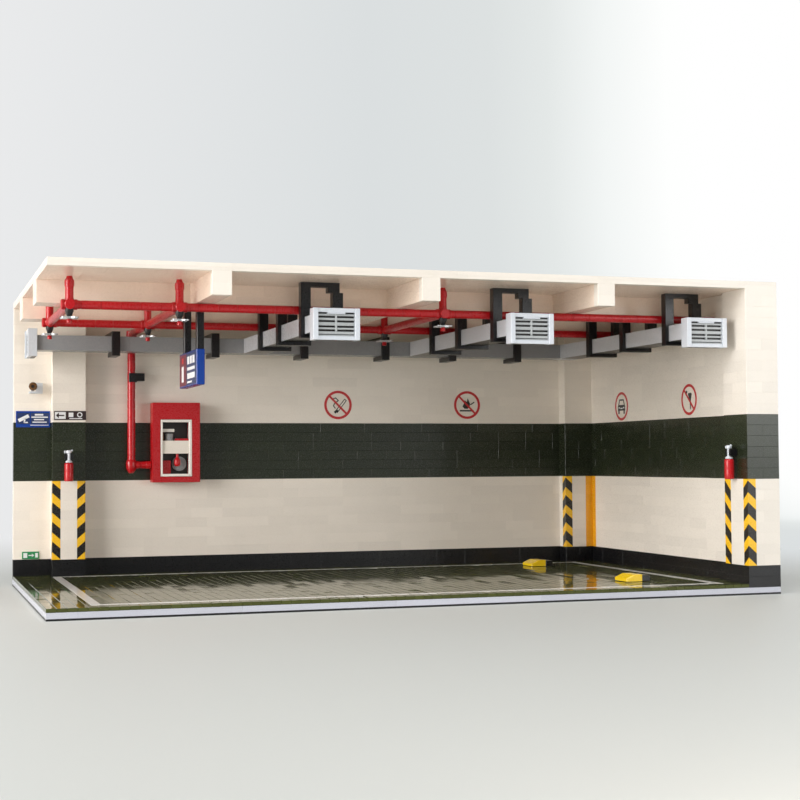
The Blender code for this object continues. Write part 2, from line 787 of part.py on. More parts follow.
def build_cabinet(root):
    """Red cabinet with a white framed opening, a shelf, the reel and the valve."""
    right = CABINET_X + CABINET_WIDTH
    back = BACK_FACE - GAP
    body = block(
        "hose_cabinet",
        (CABINET_X, CABINET_FACE, CABINET_LOW),
        (right, back, CABINET_LOW + CABINET_HEIGHT),
    )
    left_in = CABINET_X + WINDOW_MARGIN
    right_in = right - WINDOW_MARGIN
    sill = CABINET_LOW + WINDOW_SILL
    head = sill + WINDOW_HEIGHT
    deep = back - CABINET_BACK
    hollow = block("hollow", (left_in, CABINET_FACE - STUD, sill), (right_in, deep, head))
    finish(root, cut(body, hollow), RED, 0.25)
    frame = block(
        "cabinet_frame",
        (left_in + GAP, CABINET_FACE, sill + GAP),
        (right_in - GAP, CABINET_FACE + FRAME_DEPTH, head - GAP),
    )
    shelf = sill + SHELF_ABOVE_SILL
    shelf_top = shelf + SHELF_HEIGHT
    edge = GAP + FRAME_BAR
    front = CABINET_FACE - STUD
    low_hole = block(
        "hole", (left_in + edge, front, sill + edge), (right_in - edge, BACK_FACE, shelf)
    )
    high_hole = block(
        "hole", (left_in + edge, front, shelf_top), (right_in - edge, BACK_FACE, head - edge)
    )
    finish(root, cut(frame, low_hole, high_hole), WHITE)
    middle = (left_in + right_in) / 2
    reel_z = (sill + edge + shelf) / 2
    reel_face = Matrix.Translation((middle + REEL_ASIDE, deep - GAP, reel_z))
    reel_turn = Matrix.Rotation(math.radians(90), 4, "X")
    profile = shares(REEL_PROFILE, REEL_RADIUS, REEL_WIDTH)
    profile += [(REEL_HUB, profile[-1][1]), (REEL_HUB, REEL_WIDTH)]
    finish(root, turned("hose_reel", profile, reel_face @ reel_turn, 24), DUCT_GREY)
    valve_x = middle + VALVE_ASIDE
    top = shelf - GAP
    stem = top - VALVE_STEM_LENGTH
    profile = shares(VALVE_PROFILE, VALVE_RADIUS, VALVE_HEIGHT, stem - VALVE_HEIGHT)
    profile += [(VALVE_STEM, stem), (VALVE_STEM, top)]
    place = Matrix.Translation((valve_x, CABINET_FACE + VALVE_Y, 0))
    finish(root, turned("hydrant_valve", profile, place, 12), RED, 0.25)


def bottle_levels():
    """Heights of an extinguisher's foot, shoulder, neck and head."""
    foot = Z_BAND - GAP
    shoulder = foot + BOTTLE_HEIGHT
    neck = shoulder + GAP + TAP_BASE
    head = neck + TAP_NECK
    return foot, shoulder, neck, head


def build_extinguisher(root, side, place):
    """Bottle, tap head and fork; the fork's back is at the local y of 0."""
    foot, shoulder, neck, head = bottle_levels()
    axis_y = -(BOTTLE_STANDOFF + BOTTLE_RADIUS)
    spot = place @ Matrix.Translation((0, axis_y, 0))
    profile = (
        (BOTTLE_RADIUS - BOTTLE_CHAMFER, foot),
        (BOTTLE_RADIUS, foot + BOTTLE_CHAMFER),
        (BOTTLE_RADIUS, shoulder - BOTTLE_CHAMFER),
        (BOTTLE_RADIUS - BOTTLE_CHAMFER, shoulder),
    )
    finish(root, turned(f"extinguisher_{side}", profile, spot, 16), RED, 0.2)
    profile = (
        (TAP_BASE_RADIUS, shoulder + GAP),
        (TAP_BASE_RADIUS, shoulder + TAP_BASE / 2),
        (TAP_NECK_RADIUS, neck),
        (TAP_NECK_RADIUS, head),
        (TAP_HEAD_RADIUS, head),
        (TAP_HEAD_TOP_RADIUS, head + TAP_HEAD),
    )
    tap = turned(f"tap_head_{side}", profile, spot, 12)
    spout_z = head + TAP_SPOUT_RISE
    spout = pipe_between("spout", (0, 0, spout_z), (-TAP_SPOUT, 0, spout_z), TAP_SPOUT_RADIUS, 8)
    root_z = head + TAP_LEVER_RISE
    tip = (TAP_LEVER, 0, head + TAP_LEVER_TIP_RISE)
    lever = pipe_between("lever", (0, 0, root_z), tip, TAP_LEVER_RADIUS, 8)
    for tool in (spout, lever):
        tool.data.transform(spot)
    finish(root, joined(tap, spout, lever), PALE_GREY, 0.25)
    slot = TAP_NECK_RADIUS + GAP
    tip = axis_y - FORK_REACH
    outline = (
        (-FORK_WIDTH / 2, -GAP),
        (-FORK_WIDTH / 2, tip),
        (-slot, tip),
        (-slot, axis_y + slot),
        (slot, axis_y + slot),
        (slot, tip),
        (FORK_WIDTH / 2, tip),
        (FORK_WIDTH / 2, -GAP),
    )
    fork = extruded(f"fork_clip_{side}", outline, neck + GAP, head - GAP)
    fork.data.transform(place)
    finish(root, fork, BLACK)


def build_extinguishers(root):
    """One on the pilaster's front, one on the pier's left face."""
    left = Matrix.Translation((LEFT_BOTTLE_X, PILASTER_FACE, 0))
    build_extinguisher(root, "left", left)
    quarter = Matrix.Rotation(math.radians(-90), 4, "Z")
    right = Matrix.Translation((PIER_FACE, RIGHT_BOTTLE_Y, 0)) @ quarter
    build_extinguisher(root, "right", right)


def build_camera(root):
    """Camera on a wall bracket; it pans about the pin under it."""
    centre = Z_UPPER + CAMERA_ABOVE_BAND
    pivot_y = BACK_FACE - CAMERA_PIVOT
    arm_top = centre - LENS_RADIUS - 2 * GAP
    plate_x = CAMERA_X + LENS_RADIUS
    arm = block(
        "camera_bracket",
        (CAMERA_X - CAMERA_RADIUS, pivot_y - CAMERA_RADIUS, arm_top - BRACKET_ARM),
        (plate_x + GAP, BACK_FACE - GAP, arm_top),
    )
    plate = block(
        "plate",
        (plate_x - GAP, BACK_FACE - GAP - BRACKET_PLATE, arm_top - BRACKET_ARM),
        (plate_x + BRACKET_WIDTH, BACK_FACE - GAP, arm_top - BRACKET_ARM + BRACKET_HEIGHT),
    )
    finish(root, joined(arm, plate), DUCT_GREY)
    to_front = Matrix.Rotation(math.radians(90), 4, "X")
    place = Matrix.Translation((CAMERA_X, pivot_y, centre)) @ to_front
    front = CAMERA_FRONT
    profile = (
        (CAMERA_RADIUS, -CAMERA_BEHIND_PIVOT),
        (CAMERA_RADIUS, front),
        (LENS_RADIUS, front),
        (LENS_RADIUS, front + LENS_LENGTH),
    )
    body = turned("camera", profile, place, 16)
    pin = pipe_between(
        "pin",
        (CAMERA_X, pivot_y, arm_top + GAP),
        (CAMERA_X, pivot_y, centre),
        CAMERA_PIN_RADIUS,
        8,
    )
    finish(root, joined(body, pin), WHITE)


def build_sign(root):
    """A blade sign on two bars under the first beam."""
    x = BEAM_1_X + SIGN_INSET
    right = x + SIGN_THICKNESS
    bar_top = Z_BEAM - GAP
    top = Z_BEAM - SIGN_BAR_HEIGHT
    panel = block(
        "hanging_sign",
        (x, SIGN_Y, top - SIGN_HEIGHT),
        (right, SIGN_Y + SIGN_LENGTH, top),
    )
    bars = []
    for y in (SIGN_Y, SIGN_Y + SIGN_BAR_SPACING):
        low = (x + SIGN_BAR_INSET, y + SIGN_BAR_INSET, top - STUD)
        bars.append(block("bar", low, (right - SIGN_BAR_INSET, y + SIGN_BAR, bar_top)))
    finish(root, joined(panel, *bars), BLUE)


def main():
    """Build the whole garage."""
    clear_scene()
    root = make_root()
    build_base(root)
    build_skirting(root)
    build_walls(root)
    build_guards(root)
    build_roof(root)
    build_ceiling(root)
    build_wheel_stops(root)
    build_ducts(root)
    build_hangers(root)
    build_pipes(root)
    build_riser(root)
    build_cabinet(root)
    build_extinguishers(root)
    build_camera(root)
    build_sign(root)


main()
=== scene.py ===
"""Looks of a brick-built toy parking garage: its bricks, tiles, pipes, fittings, signs and stage.

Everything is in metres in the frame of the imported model: x runs right along the back
wall, y runs back, z runs up, and the origin is the middle of the underside.
"""
import math
import random

import bmesh
import bpy
from bpy.props import FloatProperty, FloatVectorProperty, IntProperty, PointerProperty
from mathutils import Matrix, Vector


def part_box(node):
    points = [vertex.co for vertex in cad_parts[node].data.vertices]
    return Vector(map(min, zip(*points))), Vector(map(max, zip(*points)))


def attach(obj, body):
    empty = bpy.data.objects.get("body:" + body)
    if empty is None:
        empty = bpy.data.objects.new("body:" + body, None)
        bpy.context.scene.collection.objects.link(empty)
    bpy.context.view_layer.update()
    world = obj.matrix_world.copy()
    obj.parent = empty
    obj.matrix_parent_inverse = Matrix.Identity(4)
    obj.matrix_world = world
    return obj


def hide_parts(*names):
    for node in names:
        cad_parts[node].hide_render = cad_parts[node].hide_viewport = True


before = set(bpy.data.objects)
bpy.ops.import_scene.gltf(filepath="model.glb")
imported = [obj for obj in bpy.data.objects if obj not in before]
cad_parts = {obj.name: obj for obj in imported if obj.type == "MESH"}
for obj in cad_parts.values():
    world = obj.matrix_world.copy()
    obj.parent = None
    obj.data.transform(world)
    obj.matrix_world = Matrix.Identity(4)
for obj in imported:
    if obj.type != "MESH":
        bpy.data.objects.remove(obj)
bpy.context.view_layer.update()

bl_info = {
    "name": "Toy Parking Garage",
    "version": (1, 0, 0),
    "blender": (4, 5, 0),
    "location": "3D View > Sidebar > Garage",
    "description": "Lays the bricks, tiles, pipes and fittings of a toy parking garage",
    "category": "Add Mesh",
}


def edge(node, side, axis):
    """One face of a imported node's box: side 0 is the low one, 1 the high one."""
    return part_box(node)[side]["xyz".index(axis)]


def mm(value):
    """Millimetres as metres, through any nesting of tuples."""
    return tuple(mm(part) for part in value) if isinstance(value, tuple) else value / 1000


def at(x, y, z):
    """A matrix that moves to a place."""
    return Matrix.Translation((x, y, z))


def spin(degrees, axis):
    """A matrix that turns round an axis."""
    return Matrix.Rotation(math.radians(degrees), 4, axis)


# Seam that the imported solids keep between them, which the bricks close
SEAM = 0.0003

# Faces of the whole garage
LEFT = edge("base_lower_plate", 0, "x")
RIGHT = edge("base_lower_plate", 1, "x")
FRONT = edge("base_lower_plate", 0, "y")
BACK = edge("base_lower_plate", 1, "y")
BASE_MIDDLE = edge("base_lower_plate", 1, "z")
BASE_TOP = edge("base_upper_plate", 1, "z")
FLOOR_TOP = edge("floor_tiles", 1, "z")
SKIRTING_TOP = edge("skirting", 1, "z")
BAND_LOW = edge("back_wall_lower", 1, "z")
BAND_TOP = edge("back_wall_band", 1, "z")
WALL_TOP = edge("back_wall_upper", 1, "z")
ROOF_TOP = edge("roof_panel", 1, "z")
BEAM_LOW = edge("ceiling_beam_1", 0, "z")

# Faces of the walls, the pier and the two stacks that stand before the back wall
SIDE_FACE = edge("right_wall_band", 0, "x")
SIDE_BACK = edge("right_wall_band", 1, "x")
WALL_FACE = edge("hose_cabinet", 1, "y") + SEAM
STACK_FACE = edge("back_wall_band", 0, "y")
PIER_FACE = edge("pier_band", 0, "x")
PIER_BACK = edge("pier_band", 1, "y")
PIER_GUARD = edge("corner_guard_pier_back", 0, "y")
PILASTER_LEFT = edge("corner_guard_pilaster_left", 0, "x")
PILASTER_RIGHT = edge("corner_guard_pilaster_right", 1, "x")
COLUMN_LEFT = edge("corner_guard_column", 0, "x")

# Lengths and places closer than this are the same
EPSILON = 0.0001
# Rise of a hazard stripe for each unit that it runs across
STRIPE_SLOPE = 0.875


def distance(name, description, default):
    """A length that a user may change."""
    return FloatProperty(name=name, description=description, default=default, subtype="DISTANCE")


def power(name, description, default):
    """A light's power that a user may change."""
    return FloatProperty(name=name, description=description, default=default, subtype="POWER")


def linear(code):
    """A hex sRGB colour as linear red, green, blue and alpha."""
    parts = [int(code[place:place + 2], 16) / 255 for place in (1, 3, 5)]
    spread = [part / 12.92 if part <= 0.04045 else ((part + 0.055) / 1.055) ** 2.4 for part in parts]
    return (*spread, 1.0)


def colour(name, code):
    """A colour that a user may change."""
    return FloatVectorProperty(
        name=name, description=f"Colour of the {name.lower()}", default=linear(code),
        subtype="COLOR", size=4, min=0.0, max=1.0,
    )


def add_node(tree, kind, inputs, **settings):
    """Add a shader node. Each input is a value, or the socket of another node that feeds it."""
    node = tree.nodes.new("ShaderNode" + kind)
    for name, value in settings.items():
        setattr(node, name, value)
    for name, value in inputs.items():
        if isinstance(value, bpy.types.NodeSocket):
            tree.links.new(value, node.inputs[name])
        else:
            node.inputs[name].default_value = value
    return node


def empty_material(name, shade):
    """A material with no nodes yet."""
    material = bpy.data.materials.new(name)
    material.use_nodes = True
    material.diffuse_color = shade
    material.node_tree.nodes.clear()
    return material


def main_shader(material):
    """The shader of a moulded plastic, to change it further."""
    return next(node for node in material.node_tree.nodes if node.type == "BSDF_PRINCIPLED")


def moulded_abs(name, shade, spread=0.05, roughness=0.28, relief=0.00002, mottle=0.006, cloud=0.04):
    """Injection moulded ABS. Every brick has its own tone, the surface is faintly uneven, and
    fine scuffs break its gloss. Mottle and cloud are the widths of an uneven and a toned patch."""
    material = empty_material(name, shade)
    tree = material.node_tree
    place = add_node(tree, "TexCoord", {}).outputs["Object"]
    tone = add_node(tree, "Attribute", {}, attribute_name="brick_tone")
    own = add_node(tree, "MapRange", {
        "Value": tone.outputs["Fac"], "To Min": 1.0 - spread, "To Max": 1.0 + spread,
    })
    clouds = add_node(tree, "TexNoise", {"Vector": place, "Scale": 1.0 / cloud, "Detail": 3.0})
    drift = add_node(tree, "MapRange", {
        "Value": clouds.outputs["Fac"], "From Min": 0.3, "From Max": 0.7, "To Min": 0.985, "To Max": 1.015,
    })
    level = add_node(tree, "Math", {0: own.outputs["Result"], 1: drift.outputs["Result"]},
                     operation="MULTIPLY")
    tinted = add_node(tree, "HueSaturation", {"Color": shade, "Value": level.outputs["Value"]})
    # Scuffs are 0.7 mm across, drawn coarser than real ones so that they show
    scuffs = add_node(tree, "TexNoise", {"Vector": place, "Scale": 1400.0, "Detail": 4.0})
    gloss = add_node(tree, "MapRange", {
        "Value": scuffs.outputs["Fac"], "From Min": 0.35, "From Max": 0.65,
        "To Min": roughness * 0.8, "To Max": roughness * 1.25,
    })
    uneven = add_node(tree, "TexNoise", {"Vector": place, "Scale": 1.0 / mottle})
    bump = add_node(tree, "Bump", {"Strength": 0.5, "Distance": relief, "Height": uneven.outputs["Fac"]})
    shader = add_node(tree, "BsdfPrincipled", {
        "IOR": 1.54,
        "Base Color": tinted.outputs["Color"],
        "Roughness": gloss.outputs["Result"],
        "Normal": bump.outputs["Normal"],
    })
    add_node(tree, "OutputMaterial", {"Surface": shader.outputs["BSDF"]})
    return material


def polished_tile(name, shade):
    """Mirror-smooth tile: its gloss takes a little of the green below the surface."""
    material = moulded_abs(name, shade, spread=0.12, roughness=0.07, mottle=0.012)
    shader = main_shader(material)
    shader.inputs["Specular Tint"].default_value = linear("#EFEFC4")
    shader.inputs["Specular IOR Level"].default_value = 0.4
    return material


def hazard_printed_abs(name, yellow, black, period=19.2, black_share=0.54):
    """ABS bricks with hazard stripes pad-printed on two faces. The mesh carries each point's
    place along the stripes in millimetres, so the print bends round the corner."""
    material = moulded_abs(name, yellow)
    tree = material.node_tree
    stripe = add_node(tree, "Attribute", {}, attribute_name="stripe_mm")
    turn = add_node(tree, "Math", {0: stripe.outputs["Fac"], 1: period}, operation="FLOORED_MODULO")
    inked = add_node(tree, "Math", {0: turn.outputs["Value"], 1: period * black_share},
                     operation="LESS_THAN")
    paint = main_shader(material).inputs["Base Color"]
    plain = paint.links[0].from_socket
    printed = add_node(tree, "Mix", {0: inked.outputs["Value"], 6: plain, 7: black}, data_type="RGBA")
    tree.links.new(printed.outputs[2], paint)
    return material


def lacquered_silver(name, shade):
    """Drum-lacquered plastic: a thin metallic coat, so it mirrors the room softly."""
    material = moulded_abs(name, shade, roughness=0.26)
    main_shader(material).inputs["Metallic"].default_value = 0.35
    return material


def printed_ink(name, shade):
    """Screen-printed ink on a tile: flatter than the plastic, with a faint dot grain."""
    return moulded_abs(name, shade, spread=0.0, roughness=0.38, relief=0.000005, mottle=0.001)


# Each plastic's short name, with its setting's label and colour, its material's name and maker, and
# the maker's options
PLASTICS = {
    "cream": ("Cream bricks", "#F4ECE1", "cream_moulded_abs", moulded_abs,
              {"spread": 0.035, "roughness": 0.3}),
    # The ceiling colour is the same cream as the walls, painted warmer to stand for the warm bounce light
    # under the roof
    "ceiling": ("Ceiling bricks", "#FAE7D6", "warm_cream_moulded_abs", moulded_abs, {"spread": 0.03}),
    "green": ("Dark green bricks", "#272D1D", "dark_green_moulded_abs", moulded_abs,
              {"spread": 0.1, "roughness": 0.24}),
    "tile": ("Floor tiles", "#4B502B", "dark_green_polished_tile", polished_tile, {}),
    "black": ("Black bricks", "#0E0E11", "black_moulded_abs", moulded_abs,
              {"spread": 0.12, "roughness": 0.3}),
    "white": ("White plates", "#F6F1EA", "white_moulded_abs", moulded_abs,
              {"spread": 0.02, "roughness": 0.25}),
    "line_white": ("Bay outline", "#FFFEFA", "bright_white_polished_abs", moulded_abs,
                   {"spread": 0.015, "roughness": 0.12}),
    "pale_grey": ("Pale grey base", "#C9CBD6", "pale_grey_moulded_abs", moulded_abs, {}),
    "vent_grey": ("Vents", "#D6DBE3", "vent_grey_moulded_abs", moulded_abs, {"spread": 0.03}),
    # The louvres are the vents' own plastic, drawn a darker grey than the frame as painted shade of the
    # recessed grille
    "louvre_grey": ("Louvres", "#AEB2B4", "louvre_grey_moulded_abs", moulded_abs, {"spread": 0.03}),
    "duct_grey": ("Main duct", "#929497", "duct_grey_moulded_abs", moulded_abs, {"spread": 0.03}),
    "branch_grey": ("Branch ducts", "#D6DAE1", "branch_grey_moulded_abs", moulded_abs, {"spread": 0.03}),
    "red": ("Red pipes and cabinet", "#BC0F1A", "red_moulded_abs", moulded_abs,
            {"spread": 0.06, "roughness": 0.29}),
    "yellow": ("Yellow bricks", "#FFC71C", "yellow_moulded_abs", moulded_abs, {"roughness": 0.22}),
    "stop_yellow": ("Wheel stops", "#FFD51C", "lemon_moulded_abs", moulded_abs, {"roughness": 0.22}),
    "orange": ("Orange corner strip", "#F2AE22", "orange_moulded_abs", moulded_abs, {"roughness": 0.24}),
    "silver": ("Spray discs", "#C4C8CC", "silver_lacquered_abs", lacquered_silver, {}),
    "blue": ("Blue sign", "#143F98", "blue_moulded_abs", moulded_abs, {"roughness": 0.22}),
    "lens": ("Camera lens", "#6B4A2C", "brown_clear_lens", moulded_abs, {"roughness": 0.08}),
}
for ink, code in (
    ("black", "#201C1A"), ("brown", "#2C1619"), ("red", "#C8262A"), ("green", "#1E8A50"),
    ("white", "#EDEEF0"), ("maroon", "#6E2136"), ("navy", "#1B2F5E"),
):
    PLASTICS[f"ink_{ink}"] = (f"{ink.title()} print", code, f"{ink}_screen_print", printed_ink, {})
MADE = {}


def plastics(names):
    """Materials by their short names; each is made the first time that it is asked for."""
    shades = bpy.context.scene.garage_colours
    for name in names.split():
        if name == "hazard" and name not in MADE:
            MADE[name] = hazard_printed_abs("hazard_printed_abs", shades.yellow, shades.ink_black)
        elif name not in MADE:
            _, _, title, maker, options = PLASTICS[name]
            MADE[name] = maker(title, getattr(shades, name), **options)
    return [MADE[name] for name in names.split()]


class GarageBricks(bpy.types.PropertyGroup):
    """Sizes of the bricks, plates and tiles."""

    stud: distance("Stud", "Spacing of the studs", 0.008)
    brick: distance("Brick", "Height of a brick", 0.0096)
    plate: distance("Plate", "Height of a plate", 0.0032)
    chamfer: distance("Edge", "Width of a brick's broken edge", 0.00013)
    tile_chamfer: distance("Tile edge", "Width of a floor tile's rounded edge", 0.0004)
    floor_tilt: FloatProperty(
        name="Tile tilt", description="Usual lean of a floor tile", default=0.005, subtype="ANGLE"
    )
    seed: IntProperty(name="Seed", description="Seed of the laying pattern", default=7)


class GaragePipes(bpy.types.PropertyGroup):
    """Sizes of the pipes' details."""

    segment: distance("Segment", "Length of one pipe piece", 0.016)
    disc_arm: distance("Disc arm", "Width of a spray disc's arm", 0.0046)


class GarageColours(bpy.types.PropertyGroup):
    """Colours of the plastics and prints."""

    __annotations__ = {name: colour(*facts[:2]) for name, facts in PLASTICS.items()}


class GarageStage(bpy.types.PropertyGroup):
    """Table, backdrop and light."""

    table: colour("Table", "#DCDEDA")
    key: power("Key light", "Power of the main soft light", 80.0)
    side: power("Side light", "Power of the light from the right front", 18.5)
    card: power("Card", "Power of the warm card beside the left end", 0.6)
    low_card: power("Low card", "Power of the card that lights the ceiling", 1.2)
    top: power("Top light", "Power of the light over the table", 41.5)
    sky: FloatProperty(name="Room light", description="Strength of the room's own light", default=0.2)


BOX_CORNERS = [(x, y, z) for x in (0, 1) for y in (0, 1) for z in (0, 1)]


def box_faces():
    """Faces of a box with broken edges: six sides, twelve edges and eight corners."""
    def spot(sides, axis):
        return BOX_CORNERS.index(tuple(sides)) * 3 + axis

    faces = []
    for axis in range(3):
        first, second = [other for other in range(3) if other != axis]
        for side in (0, 1):
            face = []
            for a, b in ((0, 0), (1, 0), (1, 1), (0, 1)):
                sides = [side] * 3
                sides[first], sides[second] = a, b
                face.append(spot(sides, axis))
            faces.append(face)
            # The edge that runs along this axis between the two sides that meet there
            for a in (0, 1):
                low = [0, 0, 0]
                low[first], low[second] = a, side
                high = list(low)
                high[axis] = 1
                faces.append([spot(low, first), spot(high, first), spot(high, second), spot(low, second)])
    return faces + [[spot(sides, axis) for axis in range(3)] for sides in BOX_CORNERS]


BOX_FACES = box_faces()


def circle(radius, height, sides, shift=0.0):
    """Points round the Z axis."""
    angles = [2 * math.pi * (side + shift) / sides for side in range(sides)]
    return [Vector((radius * math.cos(angle), radius * math.sin(angle), height)) for angle in angles]


def block(x0, x1, y0, y1):
    """The outline of a rectangle."""
    return ((x0, y0), (x1, y0), (x1, y1), (x0, y1))


def band(low, high, count):
    """Faces between two loops of points, from the index that each loop starts at."""
    steps = [(index, (index + 1) % count) for index in range(count)]
    return [(low + index, low + after, high + after, high + index) for index, after in steps]


class Pile:
    """Pieces gathered into one mesh, each with its own tone and material."""

    def __init__(self, seed=0):
        self.verts = []
        self.faces = []
        self.tones = []
        self.inks = []
        self.stripes = []
        self.dice = random.Random(seed)

    def gather(self, verts, faces, ink, tone=None, stripes=None):
        """Take one closed piece."""
        first = len(self.verts)
        self.verts += [tuple(vert) for vert in verts]
        self.faces += [[first + index for index in face] for face in faces]
        self.tones += [self.dice.random() if tone is None else tone] * len(faces)
        self.inks += [ink] * len(faces)
        self.stripes += stripes or [0.0] * len(verts)

    def brick(self, low, high, chamfer, ink=0, tone=None, place=None, corner=None):
        """A box with broken edges; corner is the point that its stripes rise to."""
        verts = []
        for sides in BOX_CORNERS:
            for axis in range(3):
                spot = []
                for other in range(3):
                    inset = 0.0 if other == axis else chamfer
                    spot.append(high[other] - inset if sides[other] else low[other] + inset)
                verts.append(Vector(spot) if place is None else place @ Vector(spot))
        stripes = None
        if corner:
            stripes = []
            for vert in verts:
                away = abs(vert.x - corner[0]) + abs(vert.y - corner[1])
                stripes.append((corner[2] - vert.z) * 1000 - STRIPE_SLOPE * away * 1000)
        self.gather(verts, BOX_FACES, ink, tone, stripes)

    def turned(self, profile, place, sides=16, ink=0):
        """A profile of (radius, height) pairs turned round the Z axis of a matrix."""
        verts = []
        faces = []
        for row, (radius, height) in enumerate(profile):
            verts += [place @ point for point in circle(radius, height, sides, 0.5)]
            if row:
                faces += band(len(verts) - 2 * sides, len(verts) - sides, sides)
        faces += [tuple(range(sides)), tuple(range(len(verts) - sides, len(verts)))]
        self.gather(verts, faces, ink)

    def leaf(self, outline, place, thickness, ink=0):
        """An outline in a matrix's XY plane, given a thickness along its Z."""
        count = len(outline)
        verts = [place @ Vector((x, y, z)) for z in (0.0, thickness) for x, y in outline]
        faces = [tuple(range(count)), tuple(range(count, 2 * count))] + band(0, count, count)
        self.gather(verts, faces, ink, 0.5)

    def prints(self, marks, place):
        """Printed marks in millimetres. Each is its points, the width of its line or 0 where it
        is filled, its thickness and its ink."""
        for points, width, thickness, ink in marks:
            if width:
                self.stroke(mm(points), width / 1000, place, thickness / 1000, ink)
            else:
                self.leaf(mm(points), place, thickness / 1000, ink)

    def stroke(self, points, width, place, thickness, ink=0):
        """A line of even width through points, drawn piece by piece."""
        for start, end in zip(points, points[1:]):
            start, end = Vector(start), Vector(end)
            run = (end - start).normalized()
            aside = Vector((-run.y, run.x)) * width / 2
            tip = run * width * 0.2
            outline = (start - aside - tip, end - aside + tip, end + aside + tip, start + aside - tip)
            self.leaf(outline, place, thickness, ink)

    def ring(self, outer, inner, place, thickness, ink=0, sides=48):
        """A flat ring in a matrix's XY plane."""
        verts = []
        for radius, height in ((outer, 0.0), (inner, 0.0), (inner, thickness), (outer, thickness)):
            verts += [place @ point for point in circle(radius, height, sides)]
        faces = []
        for row in range(4):
            faces += band(row * sides, (row + 1) % 4 * sides, sides)
        self.gather(verts, faces, ink, 0.5)

    def courses(self, axis, start, end, across, levels, lengths=(4, 6, 8), ink=0):
        """Lay courses of bricks in running bond between two places on an axis."""
        bricks = bpy.context.scene.garage_bricks
        for low, high in levels:
            joint = start
            first = True
            while joint < end - EPSILON:
                studs = self.dice.choice(lengths)
                if first:
                    studs = self.dice.choice((2, 3, 4, 6))
                    first = False
                after = joint + studs * bricks.stud
                if end - after < 2 * bricks.stud:
                    after = end
                if axis == "x":
                    self.brick((joint, across[0], low), (after, across[1], high), bricks.chamfer, ink)
                else:
                    self.brick((across[0], joint, low), (across[1], after, high), bricks.chamfer, ink)
                joint = after

    def finish(self, name, names, slot, *replaced, body="garage", smooth=False):
        """Turn the pile into one object in the named plastics, which rides on a body and stands
        for the replaced nodes."""
        mesh = bpy.data.meshes.new(name)
        mesh.from_pydata(self.verts, [], self.faces)
        for material in plastics(names):
            mesh.materials.append(material)
        mesh.polygons.foreach_set("material_index", self.inks)
        mesh.attributes.new("brick_tone", "FLOAT", "FACE").data.foreach_set("value", self.tones)
        mesh.attributes.new("stripe_mm", "FLOAT", "POINT").data.foreach_set("value", self.stripes)
        bm = bmesh.new()
        bm.from_mesh(mesh)
        bmesh.ops.recalc_face_normals(bm, faces=bm.faces)
        bm.to_mesh(mesh)
        bm.free()
        if smooth:
            mesh.shade_smooth()
            mesh.set_sharp_from_angle(angle=math.radians(35))
        piece = bpy.data.objects.new(name, mesh)
        bpy.context.scene.collection.objects.link(piece)
        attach(piece, body)
        if replaced:
            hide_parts(*replaced)


def rounded_copy(node, name, plastic, width=0.0003):
    """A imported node's own shape with its edges broken, in a better material."""
    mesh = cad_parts[node].data.copy()
    mesh.materials.clear()
    mesh.materials.append(plastics(plastic)[0])
    piece = bpy.data.objects.new(name, mesh)
    bpy.context.scene.collection.objects.link(piece)
    bm = bmesh.new()
    bm.from_mesh(mesh)
    bmesh.ops.remove_doubles(bm, verts=bm.verts, dist=0.000001)
    bmesh.ops.dissolve_limit(bm, angle_limit=math.radians(2), verts=bm.verts, edges=bm.edges)
    bm.to_mesh(mesh)
    bm.free()
    bevel = piece.modifiers.new("broken_edges", "BEVEL")
    bevel.width = width
    bevel.segments = 2
    bevel.limit_method = "ANGLE"
    bevel.angle_limit = math.radians(40)
    bevel.use_clamp_overlap = True
    graph = bpy.context.evaluated_depsgraph_get()
    shaped = bpy.data.meshes.new_from_object(piece.evaluated_get(graph))
    piece.modifiers.clear()
    piece.data = shaped
    tones = [0.5] * len(shaped.polygons)
    shaped.attributes.new("brick_tone", "FLOAT", "FACE").data.foreach_set("value", tones)
    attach(piece, "garage")
    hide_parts(node)


def levels(low, high):
    """Heights of the courses between two levels: bricks first, then plates."""
    bricks = bpy.context.scene.garage_bricks
    found = []
    while high - low > EPSILON:
        step = bricks.brick if high - low > bricks.brick - EPSILON else bricks.plate
        step = min(step, high - low)
        found.append((low, low + step))
        low += step
    return found


